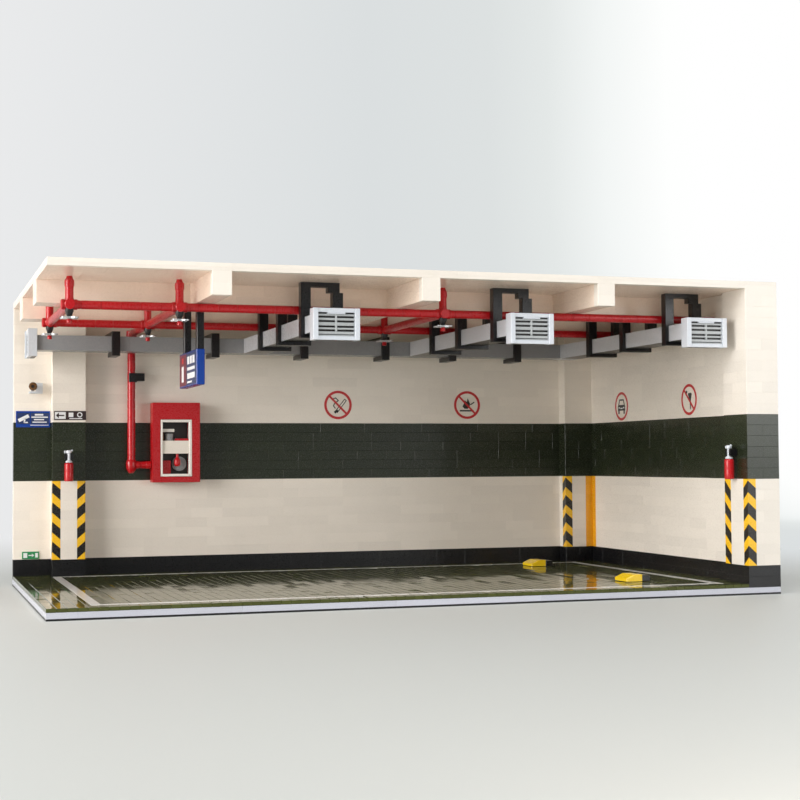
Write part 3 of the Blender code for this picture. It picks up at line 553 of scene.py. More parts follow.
class LayFloor(bpy.types.Operator):
    """Lay the base plates, the floor tiles and the white outline of the bay"""

    bl_idname = "garage.lay_floor"
    bl_label = "Lay the floor"

    def execute(self, context):
        bricks = context.scene.garage_bricks
        stud = bricks.stud
        rows = 5
        depth = (BACK - FRONT) / rows
        for part, low, high, plastic, slot in (
            ("lower", 0.0, BASE_MIDDLE, "black", "black_brick"),
            ("upper", BASE_MIDDLE, BASE_TOP, "pale_grey", "pale_grey_plastic"),
        ):
            pile = Pile(bricks.seed)
            for row in range(rows):
                start = FRONT + row * depth
                pile.courses("x", LEFT, RIGHT, (start, start + depth), [(low, high)], (16,))
            pile.finish(f"base_plates_{part}", plastic, slot, f"base_{part}_plate")
        seam = Vector((SEAM, SEAM, 0))
        low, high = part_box("bay_line")
        low, high = low - seam, high + seam
        pile = Pile(bricks.seed)
        for left, right, near, far in (
            (LEFT, PIER_FACE, FRONT, low.y),
            (LEFT, low.x, low.y, high.y),
            (low.x + stud, high.x - stud, low.y + stud, high.y - stud),
            (high.x, PIER_FACE, low.y, PIER_BACK),
            (high.x, SIDE_FACE, PIER_BACK, high.y),
            (LEFT, SIDE_FACE, high.y, STACK_FACE),
            (LEFT, PILASTER_LEFT, STACK_FACE, WALL_FACE),
            (PILASTER_RIGHT, COLUMN_LEFT, STACK_FACE, WALL_FACE),
        ):
            self.tiles(pile, left, right, near, far)
        pile.finish("floor_green_tiles", "tile", "green_tile", "floor_tiles")
        pile = Pile(bricks.seed)
        rise = [(low.z, high.z)]
        for start in (low.y, high.y - stud):
            pile.courses("x", low.x, high.x, (start, start + stud), rise, (8,))
        for start in (low.x, high.x - stud):
            pile.courses("y", low.y + stud, high.y - stud, (start, start + stud), rise, (8,))
        pile.finish("bay_outline_tiles", "line_white", "white_plastic", "bay_line")
        return {"FINISHED"}

    def tiles(self, pile, left, right, near, far):
        """Fill a rectangle of the floor with columns of long tiles, each column shifted."""
        stud = bpy.context.scene.garage_bricks.stud
        column = 0
        while right - left > EPSILON:
            side = min(left + stud, right)
            joint = near
            length = stud * (1 + 3 * column % 4)
            while far - joint > EPSILON:
                end = min(joint + length, far)
                self.tile(pile, (left, joint), (side, end))
                joint = end
                length = 4 * stud
            left = side
            column += 1

    def tile(self, pile, near, far):
        """A tile whose top leans a little, so that its reflection breaks from its neighbour's."""
        bricks = bpy.context.scene.garage_bricks
        first = len(pile.verts)
        pile.brick((*near, BASE_TOP), (*far, FLOOR_TOP), bricks.tile_chamfer)
        lean = bricks.floor_tilt * (2.2 if pile.dice.random() < 0.15 else 1.0)
        slope_x = pile.dice.gauss(0.0, 1.6 * lean)
        slope_y = pile.dice.gauss(0.0, 0.6 * lean)
        middle = ((near[0] + far[0]) / 2, (near[1] + far[1]) / 2)
        rise = (abs(slope_x) * (far[0] - near[0]) + abs(slope_y) * (far[1] - near[1])) / 2
        for index in range(first, len(pile.verts)):
            x, y, z = pile.verts[index]
            if z > (BASE_TOP + FLOOR_TOP) / 2:
                drop = slope_x * (x - middle[0]) + slope_y * (y - middle[1]) - rise
                pile.verts[index] = (x, y, z + drop)


class LayWalls(bpy.types.Operator):
    """Lay the courses of the walls, the pilaster, the column and the pier"""

    bl_idname = "garage.lay_walls"
    bl_label = "Lay the walls"

    def execute(self, context):
        seed = context.scene.garage_bricks.seed
        pile = Pile(seed)
        walls = (("back_wall", self.back_wall), ("right_wall", self.side_wall), ("pier", self.pier))
        for _, lay in walls:
            lay(pile, levels(BASE_TOP, SKIRTING_TOP), False)
        pile.finish("skirting_bricks", "black", "black_brick", "skirting")
        for course, low, high, plastic in (
            ("lower", SKIRTING_TOP, BAND_LOW, "cream"),
            ("band", BAND_LOW, BAND_TOP, "green"),
            ("upper", BAND_TOP, WALL_TOP, "cream"),
        ):
            for wall, lay in walls:
                seed += 1
                pile = Pile(seed)
                top = ROOF_TOP if (wall, course) == ("pier", "upper") else high
                lay(pile, levels(low, top), course == "lower")
                pile.finish(f"{wall}_{course}_bricks", plastic, f"{plastic}_brick", f"{wall}_{course}")
        return {"FINISHED"}

    def back_wall(self, pile, rise, guarded):
        """The long wall with its pilaster and its corner column."""
        stud = bpy.context.scene.garage_bricks.stud
        pile.courses("x", LEFT, SIDE_FACE, (WALL_FACE, BACK), rise)
        middle = STACK_FACE + stud
        for left, right in ((PILASTER_LEFT, PILASTER_RIGHT), (COLUMN_LEFT, SIDE_FACE)):
            if guarded:
                pile.courses("x", left, right, (middle, WALL_FACE), rise)
                pile.courses("x", left + stud, right - stud, (STACK_FACE, middle), rise, (2,))
            else:
                pile.courses("x", left, right, (STACK_FACE, WALL_FACE), rise[::2])
                pile.courses("x", left, right, (STACK_FACE, WALL_FACE), rise[1::2], (2, 4))

    def side_wall(self, pile, rise, guarded):
        """The right wall, with room for the corner strip in its lower courses."""
        stud = bpy.context.scene.garage_bricks.stud
        if not guarded:
            pile.courses("y", PIER_BACK, BACK, (SIDE_FACE, SIDE_BACK), rise)
            return
        pile.courses("y", PIER_BACK, STACK_FACE - stud, (SIDE_FACE, SIDE_BACK), rise)
        pile.courses("y", STACK_FACE - stud, STACK_FACE + stud, (SIDE_FACE + stud, SIDE_BACK), rise)
        pile.courses("y", STACK_FACE + stud, BACK, (SIDE_FACE, SIDE_BACK), rise)

    def pier(self, pile, rise, guarded):
        """The pier, its courses turned by a quarter one after the other."""
        stud = bpy.context.scene.garage_bricks.stud
        start = PIER_FACE
        if guarded:
            start += stud
            pile.courses("y", FRONT + stud, PIER_GUARD, (PIER_FACE, start), rise, (2,))
        middle = PIER_FACE + 2 * stud
        for number, level in enumerate(rise):
            if number % 2:
                pile.courses("y", FRONT, PIER_BACK, (start, RIGHT), [level], (2, 3))
            else:
                pile.courses("y", FRONT, PIER_BACK, (start, middle), [level], (3,))
                pile.courses("y", FRONT, PIER_BACK, (middle, RIGHT), [level], (3,))


class SetCornerGuards(bpy.types.Operator):
    """Set the striped corner bricks and the plain corner strip"""

    bl_idname = "garage.set_corner_guards"
    bl_label = "Set the corner guards"

    def execute(self, context):
        bricks = context.scene.garage_bricks
        stripe_top = BAND_LOW - 0.0013
        # Each guard's part, and the side of its box in x and in y where its outer corner is
        for part, side_x, side_y in (
            ("pilaster_left", 0, 0), ("pilaster_right", 1, 0), ("column", 0, 0), ("pier_front", 0, 0),
            ("pier_back", 0, 1),
        ):
            node = f"corner_guard_{part}"
            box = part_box(node)
            corner = (box[side_x].x, box[side_y].y, stripe_top)
            pile = Pile(bricks.seed)
            for low, high in levels(SKIRTING_TOP, BAND_LOW):
                pile.brick((*box[0].xy, low), (*box[1].xy, high), bricks.chamfer, corner=corner)
            pile.finish(f"{node}_bricks", "hazard", "yellow_brick", node)
        near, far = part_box("corner_strip_plain")
        pile = Pile(bricks.seed)
        middle = near.x + bricks.stud
        for low, high in levels(SKIRTING_TOP, BAND_LOW):
            pile.brick((middle, near.y, low), (far.x, far.y, high), bricks.chamfer)
            pile.brick((near.x, near.y + bricks.stud, low), (middle, far.y, high), bricks.chamfer)
        pile.finish("corner_strip_bricks", "orange", "yellow_brick", "corner_strip_plain")
        return {"FINISHED"}


class LayRoof(bpy.types.Operator):
    """Lay the roof's two layers of plates and the ceiling beams and ribs"""

    bl_idname = "garage.lay_roof"
    bl_label = "Lay the roof"

    def execute(self, context):
        bricks = context.scene.garage_bricks
        stud = bricks.stud
        pile = Pile(bricks.seed)
        for number in range(2):
            low = WALL_TOP + number * bricks.plate
            rise = [(low, low + bricks.plate)]
            start = FRONT
            while start < BACK - EPSILON:
                end = min(start + 6 * stud, BACK)
                right = PIER_FACE if start < PIER_BACK - EPSILON else SIDE_BACK
                if start < PIER_BACK - EPSILON < end:
                    end = PIER_BACK
                front = start
                if start == FRONT:
                    front += stud
                    pile.courses("x", LEFT, right, (start, front), rise, (8, 12, 16))
                # Behind its front row the lower layer takes the ceiling colour, cream with painted warm
                # bounce light; the upper layer stays cream
                pile.courses("x", LEFT, right, (front, end), rise, (8, 12, 16), 1 - number)
                start = end
        pile.finish("roof_plates", "cream ceiling", "cream_brick", "roof_panel")
        rise = levels(BEAM_LOW, WALL_TOP)
        face = FRONT + stud
        beams = [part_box(f"ceiling_beam_{number}") for number in (1, 2, 3)]
        for number, (near, far) in enumerate(beams, 1):
            pile = Pile(bricks.seed + number)
            pile.courses("y", FRONT, face, (near.x, far.x), rise)
            # Behind its front end each beam takes the ceiling colour: cream with painted warm bounce light
            pile.courses("y", face, WALL_FACE, (near.x, far.x), rise, ink=1)
            pile.finish(f"beam_{number}_bricks", "cream ceiling", "cream_brick", f"ceiling_beam_{number}")
        starts = [LEFT] + [beam[1].x for beam in beams]
        ends = [beam[0].x for beam in beams] + [SIDE_FACE]
        # The ribs take the ceiling colour all through: cream with painted warm bounce light
        for number in (1, 2):
            near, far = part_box(f"ceiling_rib_{number}")
            pile = Pile(bricks.seed + 4 + number)
            for start, end in zip(starts, ends):
                pile.courses("x", start, end, (near.y, far.y), rise)
            pile.finish(f"rib_{number}_bricks", "ceiling", "cream_brick", f"ceiling_rib_{number}")
        return {"FINISHED"}


class HangDucts(bpy.types.Operator):
    """Hang the air ducts with their vents, hangers and wall brackets"""

    bl_idname = "garage.hang_ducts"
    bl_label = "Hang the ducts"

    def execute(self, context):
        bricks = context.scene.garage_bricks
        main_low, main_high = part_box("main_duct")
        rise = [(main_low.z, main_high.z)]
        pile = Pile(bricks.seed)
        pile.courses("x", main_low.x, main_high.x, (main_low.y, main_high.y), rise, (8, 12))
        pile.finish("main_duct_bricks", "duct_grey", "duct_grey_plastic", "main_duct")
        # A thin black plate lies under each branch duct
        inset = 0.0012
        skin = 0.0002
        for number in (1, 2, 3):
            node = f"branch_duct_{number}"
            low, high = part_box(node)
            pile = Pile(bricks.seed + number)
            pile.courses("y", low.y, high.y, (low.x, high.x), rise, (8, 12))
            pile.brick((low.x + inset, low.y + inset, main_low.z - skin),
                       (high.x - inset, main_low.y - inset, main_low.z + inset), skin / 2, 1)
            pile.finish(f"{node}_bricks", "branch_grey black", "duct_grey_plastic", node)
            node = f"air_vent_{number}"
            low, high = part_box(node)
            self.vent(node, Matrix.Translation(low), high - low, "white_plastic")
            for node in (f"vent_hanger_{number}", f"duct_strap_{number}_front", f"duct_strap_{number}_rear"):
                rounded_copy(node, f"{node}_plates", "black")
        low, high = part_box("air_vent_end")
        size = high - low
        place = at(low.x, high.y, low.z) @ spin(-90, "Z")
        self.vent("air_vent_end", place, Vector((size.y, size.x, size.z)), "pale_grey_plastic")
        pile = Pile(bricks.seed)
        reach = 0.0035
        bar = 0.004
        arm = 0.0046
        low, high = rise[0]
        front = main_low.y - reach
        face = main_low.y - SEAM
        for middle in (0.092, 0.1894, 0.280, 0.3657, 0.4385, 0.5114):
            left, right = LEFT + middle - bar, LEFT + middle + bar
            pile.brick((left, front, low - arm), (right, face, high + arm), bricks.chamfer)
            pile.brick((left, face, low - arm), (right, main_high.y + reach, low - SEAM), bricks.chamfer)
            pile.brick((left, face, high + SEAM), (right, WALL_FACE, high + arm), bricks.chamfer)
        pile.finish("main_duct_brackets", "black", "black_brick")
        return {"FINISHED"}

    def vent(self, node, place, size, slot):
        """A grille of louvres in a frame, seen from the front of its place matrix."""
        width, depth, top = size
        chamfer = bpy.context.scene.garage_bricks.chamfer * 2
        jamb, notch, back, proud, mullion, opening = mm((4.3, 8.0, 4.2, 0.9, 1.4, 1.7))
        # Depths below the vent's top: of its head, its louvres and mullion, and its sill
        head, first, last, end_mullion, ledge, sill = mm((3.5, 4.9, 21.6, 19.4, 22.2, 23.3))
        edges = [first]
        for centre in mm((7.3, 10.9, 15.3, 18.5)):
            edges += [centre - opening / 2, centre + opening / 2]
        edges.append(last)
        inner = width - jamb
        left, right = (width - mullion) / 2, (width + mullion) / 2
        parts = [
            (0, jamb, 0, depth, 0, top, 0),
            (inner, width, 0, depth, 0, top, 0),
            (jamb, inner, back, depth, 0, top, 1),
            (jamb, inner, proud, back, top - head, top, 0),
            (jamb + notch, inner - notch, proud, back, top - first, top - head, 0),
        ]
        # The louvres, the mullion and the ledge take the darker louvre grey: painted shade inside the
        # recessed grille
        for start, end in zip(edges[::2], edges[1::2]):
            parts.append((jamb, inner, proud * 2, back, top - end, top - start, 2))
        parts += [
            (left, right, proud * 1.8, back, top - end_mullion, top - first, 2),
            (jamb, inner, proud * 2, back, top - sill, top - ledge, 2),
            (jamb, inner, proud, back, 0, top - sill, 0),
        ]
        pile = Pile(3)
        for x0, x1, y0, y1, z0, z1, ink in parts:
            pile.brick((x0, y0, z0), (x1, y1, z1), chamfer, ink, 0.5, place)
        pile.finish(f"{node}_grille", "vent_grey ink_black louvre_grey", slot, node)


def pipe(pile, start, end, radius, segment):
    """A straight pipe of pushed-together pieces, with a fine groove at each joint."""
    run = Vector(end) - Vector(start)
    turn = run.to_track_quat("Z", "Y").to_matrix().to_4x4()
    count = max(1, round(run.length / segment))
    length = run.length / count
    groove = 0.0004
    profile = (
        (radius - groove, 0.0), (radius - groove, groove / 2), (radius, groove),
        (radius, length - groove), (radius - groove, length - groove / 2), (radius - groove, length),
    )
    for number in range(count):
        pile.turned(profile, at(*start) @ turn @ at(0, 0, number * length))


def raised(profile, height):
    """A profile in millimetres, moved up to a height in metres."""
    return tuple((radius, height + rise) for radius, rise in mm(profile))


# Turned profiles of the pipe fittings, as (radius, height) in millimetres
TEE_FOOT = ((3.7, 0), (4.4, 0.9), (4.4, 3), (3.8, 3.4), (3.4, 6))
TEE_TOP = ((3.4, -8.8), (3.9, -8.2), (3.9, -3.2), (3.1, -2.4), (2.4, -0.8), (2.4, 0))
TEE_COLLARS = (
    (3.8, -6.6), (4.3, -6.2), (4.3, -3.8), (4, -3.2), (4, 3.2), (4.3, 3.8), (4.3, 6.2), (3.8, 6.6),
)
SPRAY_HEAD = ((1.4, -10.7), (1.9, -9.9), (3, -6.8), (3.4, -5.8), (3.7, -2), (3.7, 0))
SPRAY_TIP = ((1.6, -3.8), (2.1, -3.4), (2.1, -1), (1.7, 0))
LOW_ELBOW = ((1.6, -8.3), (2.6, -7.8), (4.2, -5.2), (5.2, -2.6), (5.2, 2.6), (4.6, 4.4), (4.1, 5.2))
HIGH_ELBOW = ((4.1, -5.2), (5, -4), (5.2, -2.6), (5.2, 2.4), (4.6, 3.1))


class FitPipes(bpy.types.Operator):
    """Fit the sprinkler pipes, their spray heads and the riser"""

    bl_idname = "garage.fit_pipes"
    bl_label = "Fit the pipes"

    def execute(self, context):
        segment = context.scene.garage_pipes.segment
        radius = 0.0036
        level = BEAM_LOW - SEAM - radius
        front, back = FRONT + 0.068, FRONT + 0.238
        crosses = (LEFT + 0.024, LEFT + 0.114, LEFT + 0.3465)
        pile = Pile(context.scene.garage_bricks.seed)
        for y in (front, back):
            pipe(pile, (LEFT + 0.017, y, level), (SIDE_FACE - SEAM, y, level), radius, segment)
        for x in crosses:
            pipe(pile, (x, front, level), (x, back, level), radius, segment)
            if x == crosses[1]:
                wall = edge("sprinkler_pipes", 1, "y")
                pipe(pile, (x, back, level), (x, wall, level), radius, segment)
            for y in (front, back):
                self.tee(pile, x, y, level)
        pile.finish("sprinkler_pipe_pieces", "red black silver", "red_plastic", "sprinkler_pipes",
                    smooth=True)
        self.riser(crosses[1], level)
        return {"FINISHED"}

    def tee(self, pile, x, y, level):
        """A tee with its riser to the ceiling and its spray head."""
        half_arm = bpy.context.scene.garage_pipes.disc_arm / 2
        upright = at(x, y, level)
        pile.turned(mm(TEE_FOOT) + raised(TEE_TOP, WALL_TOP - level), upright)
        along = upright @ spin(90, "Y")
        for turn in (along, along @ spin(90, "X")):
            pile.turned(mm(TEE_COLLARS), turn)
        pile.turned(mm(SPRAY_HEAD), upright, ink=1)
        top, reach, disc, cap, lip = mm((-10.3, 9.0, 1.2, 4.6, 0.3))
        for quarter in range(2):
            outline = []
            for side in (1, -1):
                for step in range(7):
                    angle = math.radians(-90 + 30 * step)
                    outline.append((side * (reach - half_arm + half_arm * math.cos(angle)),
                                    side * half_arm * math.sin(angle)))
            low = top - disc - quarter * 0.00005
            pile.leaf(outline, upright @ spin(45 + 90 * quarter, "Z") @ at(0, 0, low), disc, 2)
        pile.turned(((cap, top - disc - lip), (cap, top + lip)), upright, ink=2)
        pile.turned(raised(SPRAY_TIP, top - disc), upright)

    def riser(self, x, level):
        """The pipe down the wall with its elbows, clamp and branch to the cabinet."""
        stand_off, rise, radius, piece, branch_radius, branch_piece = mm((8.0, 17.6, 3.9, 9.6, 3.6, 4.8))
        y = WALL_FACE - stand_off
        foot = edge("hose_cabinet", 0, "z") + rise
        low_end, high_end = at(x, y, foot), at(x, y, level)
        pile = Pile(5)
        pipe(pile, (x, y, foot), (x, y, level), radius, piece)
        pile.turned(mm(LOW_ELBOW), low_end, 20)
        pile.turned(mm(HIGH_ELBOW), high_end, 20)
        cabinet = edge("hose_cabinet", 0, "x") - SEAM
        pipe(pile, (x, y, foot), (cabinet, y, foot), branch_radius, branch_piece)
        for start, end in ((4.5, 7.5), (14.5, 19.5)):
            collar = ((3.6, start), (3.9, start + 0.3), (3.9, end - 0.3), (3.6, end))
            pile.turned(mm(collar), low_end @ spin(90, "Y"))
        clamp = at(x, y, BAND_TOP + 0.045)
        for low, high in (((-3, -4.8, -4.5), (5, 7.8, 4.5)), ((5, -2, -3.2), (13, 7.8, 4.5))):
            pile.brick(mm(low), mm(high), 0.0003, 1, place=clamp)
        pile.finish("riser_pipe_pieces", "red black", "red_plastic", "riser_pipe", smooth=True)


class FitCabinet(bpy.types.Operator):
    """Fit the hose cabinet with its frame, shelf, reel, valve and contents"""

    bl_idname = "garage.fit_cabinet"
    bl_label = "Fit the hose cabinet"

    def execute(self, context):
        seed = context.scene.garage_bricks.seed
        rounded_copy("hose_cabinet", "hose_cabinet_shell", "red", 0.0005)
        low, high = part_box("cabinet_frame")
        chamfer, left_bar, bar = mm((0.3, 2.0, 2.6))
        left, right = low.x + left_bar, high.x - bar
        floor, roof = low.z + bar, high.z - bar
        front, deep = low.y, high.y
        shelf_low, shelf = low.z + 0.0229, low.z + 0.0359
        back = WALL_FACE - 0.0026
        width = right - left
        pile = Pile(seed)
        for near, far, cut, ink in (
            ((low.x, front, low.z), (left, deep, high.z), chamfer, 0),
            ((right, front, low.z), (high.x, deep, high.z), chamfer, 0),
            ((left, front, low.z), (right, deep, floor), chamfer, 0),
            ((left, front, roof), (right, deep, high.z), chamfer, 0),
            # The shelf, the dark back, a small rack and its post
            ((left, front + 0.0012, shelf_low), (right, deep, shelf), chamfer, 1),
            ((left, back - 0.0006, floor), (right, back, roof), 0.0001, 2),
            ((left, front + 0.004, roof - 0.0098), (left + width * 0.46, front + 0.0085, roof - 0.0066),
             chamfer, 0),
            ((left + 0.0002, front + 0.0062, shelf), (left + 0.0022, front + 0.0088, roof - 0.0098),
             chamfer, 5),
        ):
            pile.brick(near, far, cut, ink)
        # A grey drum on the shelf, then the red blocks on the shelf and beside the reel
        drum = ((3.6, 0), (3.9, 0.4), (3.9, 6.8), (3.4, 7.2))
        pile.turned(mm(drum), at(left + width * 0.28, front + 0.0066, shelf), 20, 4)
        rear = back - 0.0008
        pile.brick((left + width * 0.48, front + 0.003, shelf), (right - 0.0002, rear, shelf + 0.0022),
                   chamfer, 3)
        pile.brick((left + 0.0003, front + 0.005, floor), (left + 0.0088, rear, floor + 0.0134), chamfer, 3)
        pile.finish("cabinet_frame_and_contents", "white cream ink_black red duct_grey lens",
                    "white_plastic", "cabinet_frame")
        self.reel(seed)
        self.valve(seed)
        return {"FINISHED"}

    def reel(self, seed):
        """The reel: two rims, four spokes and a hub."""
        low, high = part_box("hose_reel")
        middle = (low + high) / 2
        radius = (high.x - low.x) / 2
        width = high.y - low.y
        place = at(middle.x, high.y, middle.z) @ spin(90, "X")
        pile = Pile(seed)
        rims = (
            (1, 0.0), (1, 0.16), (0.84, 0.22), (0.84, 0.5), (1, 0.56), (1, 0.72), (0.92, 0.76),
            (0.86, 0.68), (0.3, 0.66),
        )
        pile.turned([(radius * share, width * rise) for share, rise in rims], place, 32)
        for quarter in range(4):
            turn = place @ spin(45 + 90 * quarter, "Z")
            pile.brick((0.0, -0.0008, width * 0.64), (radius * 0.88, 0.0008, width * 0.74), 0.0001,
                       0, 0.5, turn)
        hub = ((0.0027, 0.6), (0.0027, 0.86), (0.0022, 0.95), (0.0012, 0.99))
        pile.turned([(across, width * rise) for across, rise in hub], place, 20)
        pile.finish("hose_reel_pieces", "duct_grey", "duct_grey_plastic", "hose_reel", body="reel",
                    smooth=True)

    def valve(self, seed):
        """The red valve under the shelf: a round cap whose stem goes up into the shelf."""
        low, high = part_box("hydrant_valve")
        middle = (low + high) / 2
        radius = (high.x - low.x) / 2
        height = high.z - low.z
        pile = Pile(seed)
        body = (
            (0.98, 0.16), (1, 0.3), (1, 0.5), (0.75, 0.6), (0.55, 0.7), (0.42, 0.72), (0.42, 1),
        )
        foot = [(radius * 0.45, 0.0), (radius * 0.7, 0.0004)]
        pile.turned(foot + [(radius * share, height * rise) for share, rise in body],
                    at(middle.x, middle.y, low.z), 20)
        pile.finish("hydrant_valve_pieces", "red", "red_plastic", "hydrant_valve", body="valve",
                    smooth=True)


# Turned profiles of the tap heads and the camera, as (radius, height) in millimetres
TAP_HEAD = (
    (3.1, 0), (3.4, 0.3), (3.4, 1), (2.8, 1.8), (1.9, 2.3), (1.6, 2.7), (1.6, 8.8), (1.9, 9.1),
    (2.6, 9.4), (2.6, 11.2), (2.3, 11.9), (1.6, 12.1),
)
TAP_SPOUT = ((1.3, 0), (1.3, 3.4), (1.5, 3.6), (1.5, 4.3), (1.2, 4.6))
TAP_LEVER = ((0.9, 0), (0.9, 3.2), (1.1, 3.6), (0.8, 3.9))
CAMERA_BACK = ((2.2, 0), (2.9, 0.4), (3.2, 1))
CAMERA_FRONT = ((3.2, -2.4), (3.4, -2.2), (3.4, -1.6))
CAMERA_RIM = ((3.6, -1.6), (4.1, -1.3), (4.1, -0.3), (3.6, 0), (1.8, 0), (1.4, -0.8))
CAMERA_LENS = ((1.4, -1.2), (1.4, -0.7), (0.6, -0.4))


class HangExtinguishers(bpy.types.Operator):
    """Hang the two fire extinguishers in their forks"""

    bl_idname = "garage.hang_extinguishers"
    bl_label = "Hang the extinguishers"

    def execute(self, context):
        for side, turn in (("left", 0), ("right", -90)):
            node = f"extinguisher_{side}"
            low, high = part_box(node)
            middle = (low + high) / 2
            height = high.z - low.z
            radius = (high.x - low.x) / 2
            profile = (
                (0.8, 0.0), (0.94, 0.0003), (1, 0.0011), (1, height * 0.46), (0.985, height * 0.475),
                (0.985, height * 0.49), (1, height * 0.505), (1, height - 0.0012),
                (0.93, height - 0.0004), (0.8, height),
            )
            pile = Pile(2)
            pile.turned([(radius * share, rise) for share, rise in profile],
                        at(middle.x, middle.y, low.z), 24)
            pile.finish(f"{node}_bottle", "red", "red_plastic", node, body=f"bottle_{side}", smooth=True)
            self.tap(side, turn, middle)
            rounded_copy(f"fork_clip_{side}", f"fork_clip_{side}_clip", "black")
        return {"FINISHED"}

    def tap(self, side, turn, middle):
        """The pale tap head: collar, neck, head, spout and lever."""
        node = f"tap_head_{side}"
        base = at(middle.x, middle.y, edge(node, 0, "z"))
        turned = base @ spin(turn, "Z")
        pile = Pile(2)
        pile.turned(mm(TAP_HEAD), base, 20)
        pile.turned(mm(TAP_SPOUT), turned @ at(0, 0, 0.0104) @ spin(-90, "Y"), 16)
        pile.turned(mm(TAP_LEVER), turned @ at(0, 0, 0.0108) @ spin(72, "Y"), 12)
        pile.finish(f"{node}_tap", "vent_grey", "pale_grey_plastic", node, body=f"tap_{side}", smooth=True)


class MountCamera(bpy.types.Operator):
    """Mount the security camera on its bracket"""

    bl_idname = "garage.mount_camera"
    bl_label = "Mount the camera"

    def execute(self, context):
        rounded_copy("camera_bracket", "camera_bracket_plates", "vent_grey", 0.0002)
        low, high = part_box("camera")
        middle = (low.x + high.x) / 2
        centre = high.z - (high.x - low.x) / 2
        length = high.y - low.y
        place = at(middle, high.y, centre) @ spin(90, "X")
        pile = Pile(2)
        pile.turned(mm(CAMERA_BACK) + raised(CAMERA_FRONT, length), place, 24)
        pile.turned(raised(CAMERA_RIM, length), place, 24, 1)
        pile.turned(raised(CAMERA_LENS, length), place, 16, 3)
        pin = ((0.0014, 0.0), (0.0014, centre - low.z))
        pile.turned(pin, at(middle, high.y - 0.003, low.z), 12, 2)
        pile.finish("camera_pieces", "white lens duct_grey ink_black", "white_plastic", "camera",
                    body="camera_head", smooth=True)
        return {"FINISHED"}


# Marks of the round signs in millimetres from the middle, each with its points, the width of its
# line or 0 where it is filled, its thickness and its ink: 1 is black and 2 is white
ROUND_MARKS = {
    "smoke": (
        (((-3, -6.8), (7.2, 6.2)), 0.8, 0.15, 1),
        (((-1, -8.2), (9, 4.6)), 0.8, 0.15, 1),
        (((7.2, 6.2), (9, 4.6)), 0.8, 0.15, 1),
        (((-3.4, -7.8), (-0.8, -5.6)), 2.6, 0.15, 1),
        (((-3, -3.6), (-5, -0.8), (-3.4, 2.2), (0.4, 4.6), (-2.6, 7.4), (-6.2, 6.2)), 1, 0.15, 1),
    ),
    "flame": (
        (((-5.2, -1.6), (-3, -4), (0.6, -4.2), (3, -1.6), (3.4, 1.6), (0.8, 7.2), (-0.2, 3),
          (-2.6, 5.2), (-3.4, 2)), 0, 0.15, 1),
        (((-8, -6.2), (7.2, -6.2)), 1.6, 0.15, 1),
        (((4, 0.4), (8.2, 3)), 1.2, 0.15, 1),
    ),
    "car": (
        (((-8.2, -4.6), (8.2, -4.6), (8.2, 0.4), (6.6, 1.4), (-6.6, 1.4), (-8.2, 0.4)), 0, 0.15, 1),
        (((-6.6, 1), (-4.4, 6.6), (4.4, 6.6), (6.6, 1)), 1.6, 0.15, 1),
        (((-6, -7.4), (-6, -4.6)), 2.8, 0.15, 1),
        (((6, -7.4), (6, -4.6)), 2.8, 0.15, 1),
        (((-6.2, -1.6), (-4, -1.6)), 1.4, 0.19, 2),
        (((6.2, -1.6), (4, -1.6)), 1.4, 0.19, 2),
        (((-2.4, -2.2), (2.4, -2.2)), 1.2, 0.19, 2),
    ),
    "horn": (
        (((1.9, -9.4), (3.3, -9.4), (3.5, -0.8), (5.4, 5), (4.4, 6.4), (-1, 6.4), (-1.8, 5),
          (1.5, -0.8)), 0, 0.15, 1),
    ),
}
# The same for the three signs by the left end, from their lower left corners. The inks are 0 blue,
# 1 white, 2 brown, 3 green and 4 navy
BLUE_MARKS = (
    (block(0, 32.8, 0, 16), 0, 0.8, 0),
    (block(1.2, 13.4, 3.2, 14.2), 0, 0.92, 4),
    (block(14.2, 31.6, 3.2, 14.2), 0, 0.92, 4),
    (((3, 6.8), (11.6, 11)), 3.4, 1.04, 1),
    (((8.8, 8.8), (7.8, 4.8), (11.2, 4.8)), 1.2, 1.04, 1),
    (block(18, 26.2, 11.6, 13.2), 0, 1.04, 1),
    (block(14.8, 30.6, 9.4, 10.6), 0, 1.04, 1),
    (block(17.2, 27, 7, 8.2), 0, 1.04, 1),
    (block(15.8, 29.6, 4.6, 5.6), 0, 1.04, 1),
    (block(13.6, 31.2, 1.8, 2.4), 0, 1.04, 1),
)
ARROW_MARKS = (
    (block(0, 31, 0, 8.8), 0, 0.8, 2),
    (block(0.8, 11.2, 1, 7.8), 0, 0.92, 1),
    (((9.6, 4.4), (3.4, 4.4)), 1.2, 1.04, 2),
    (((1.8, 4.4), (4.6, 1.6), (4.6, 7.2)), 0, 1.04, 2),
    (block(14, 18.6, 2.8, 7.2), 0, 0.92, 1),
    (block(14.8, 27.2, 1, 1.8), 0, 0.92, 1),
)
EXIT_MARKS = (
    (block(0, 16.3, 0, 7.2), 0, 0.8, 3),
    (block(1.2, 5, 1.2, 6), 0, 0.92, 1),
    (((6.4, 3.6), (10, 3.6)), 1, 0.92, 1),
    (((11.6, 3.6), (9.4, 5.4), (9.4, 1.8)), 0, 0.92, 1),
    (block(12.6, 15.2, 1.4, 5.8), 0, 0.92, 1),
)
# Plain blocks on the hanging sign as (x0, x1, y0, y1) in shares of its length and height, then
# thickness in metres and ink: 2 is white and 5 is red
HANGING_MARKS = (
    (0.14, 0.26, 0.16, 0.62, 0.00024, 2), (0.15, 0.25, 0.70, 0.86, 0.00024, 5),
    (0.47, 0.59, 0.64, 0.86, 0.00018, 2), (0.62, 0.74, 0.64, 0.86, 0.00018, 2),
    (0.77, 0.89, 0.64, 0.86, 0.00018, 2), (0.47, 0.90, 0.46, 0.55, 0.00018, 2),
    (0.47, 0.90, 0.22, 0.38, 0.00018, 2), (0.47, 0.74, 0.10, 0.15, 0.00018, 2),
)


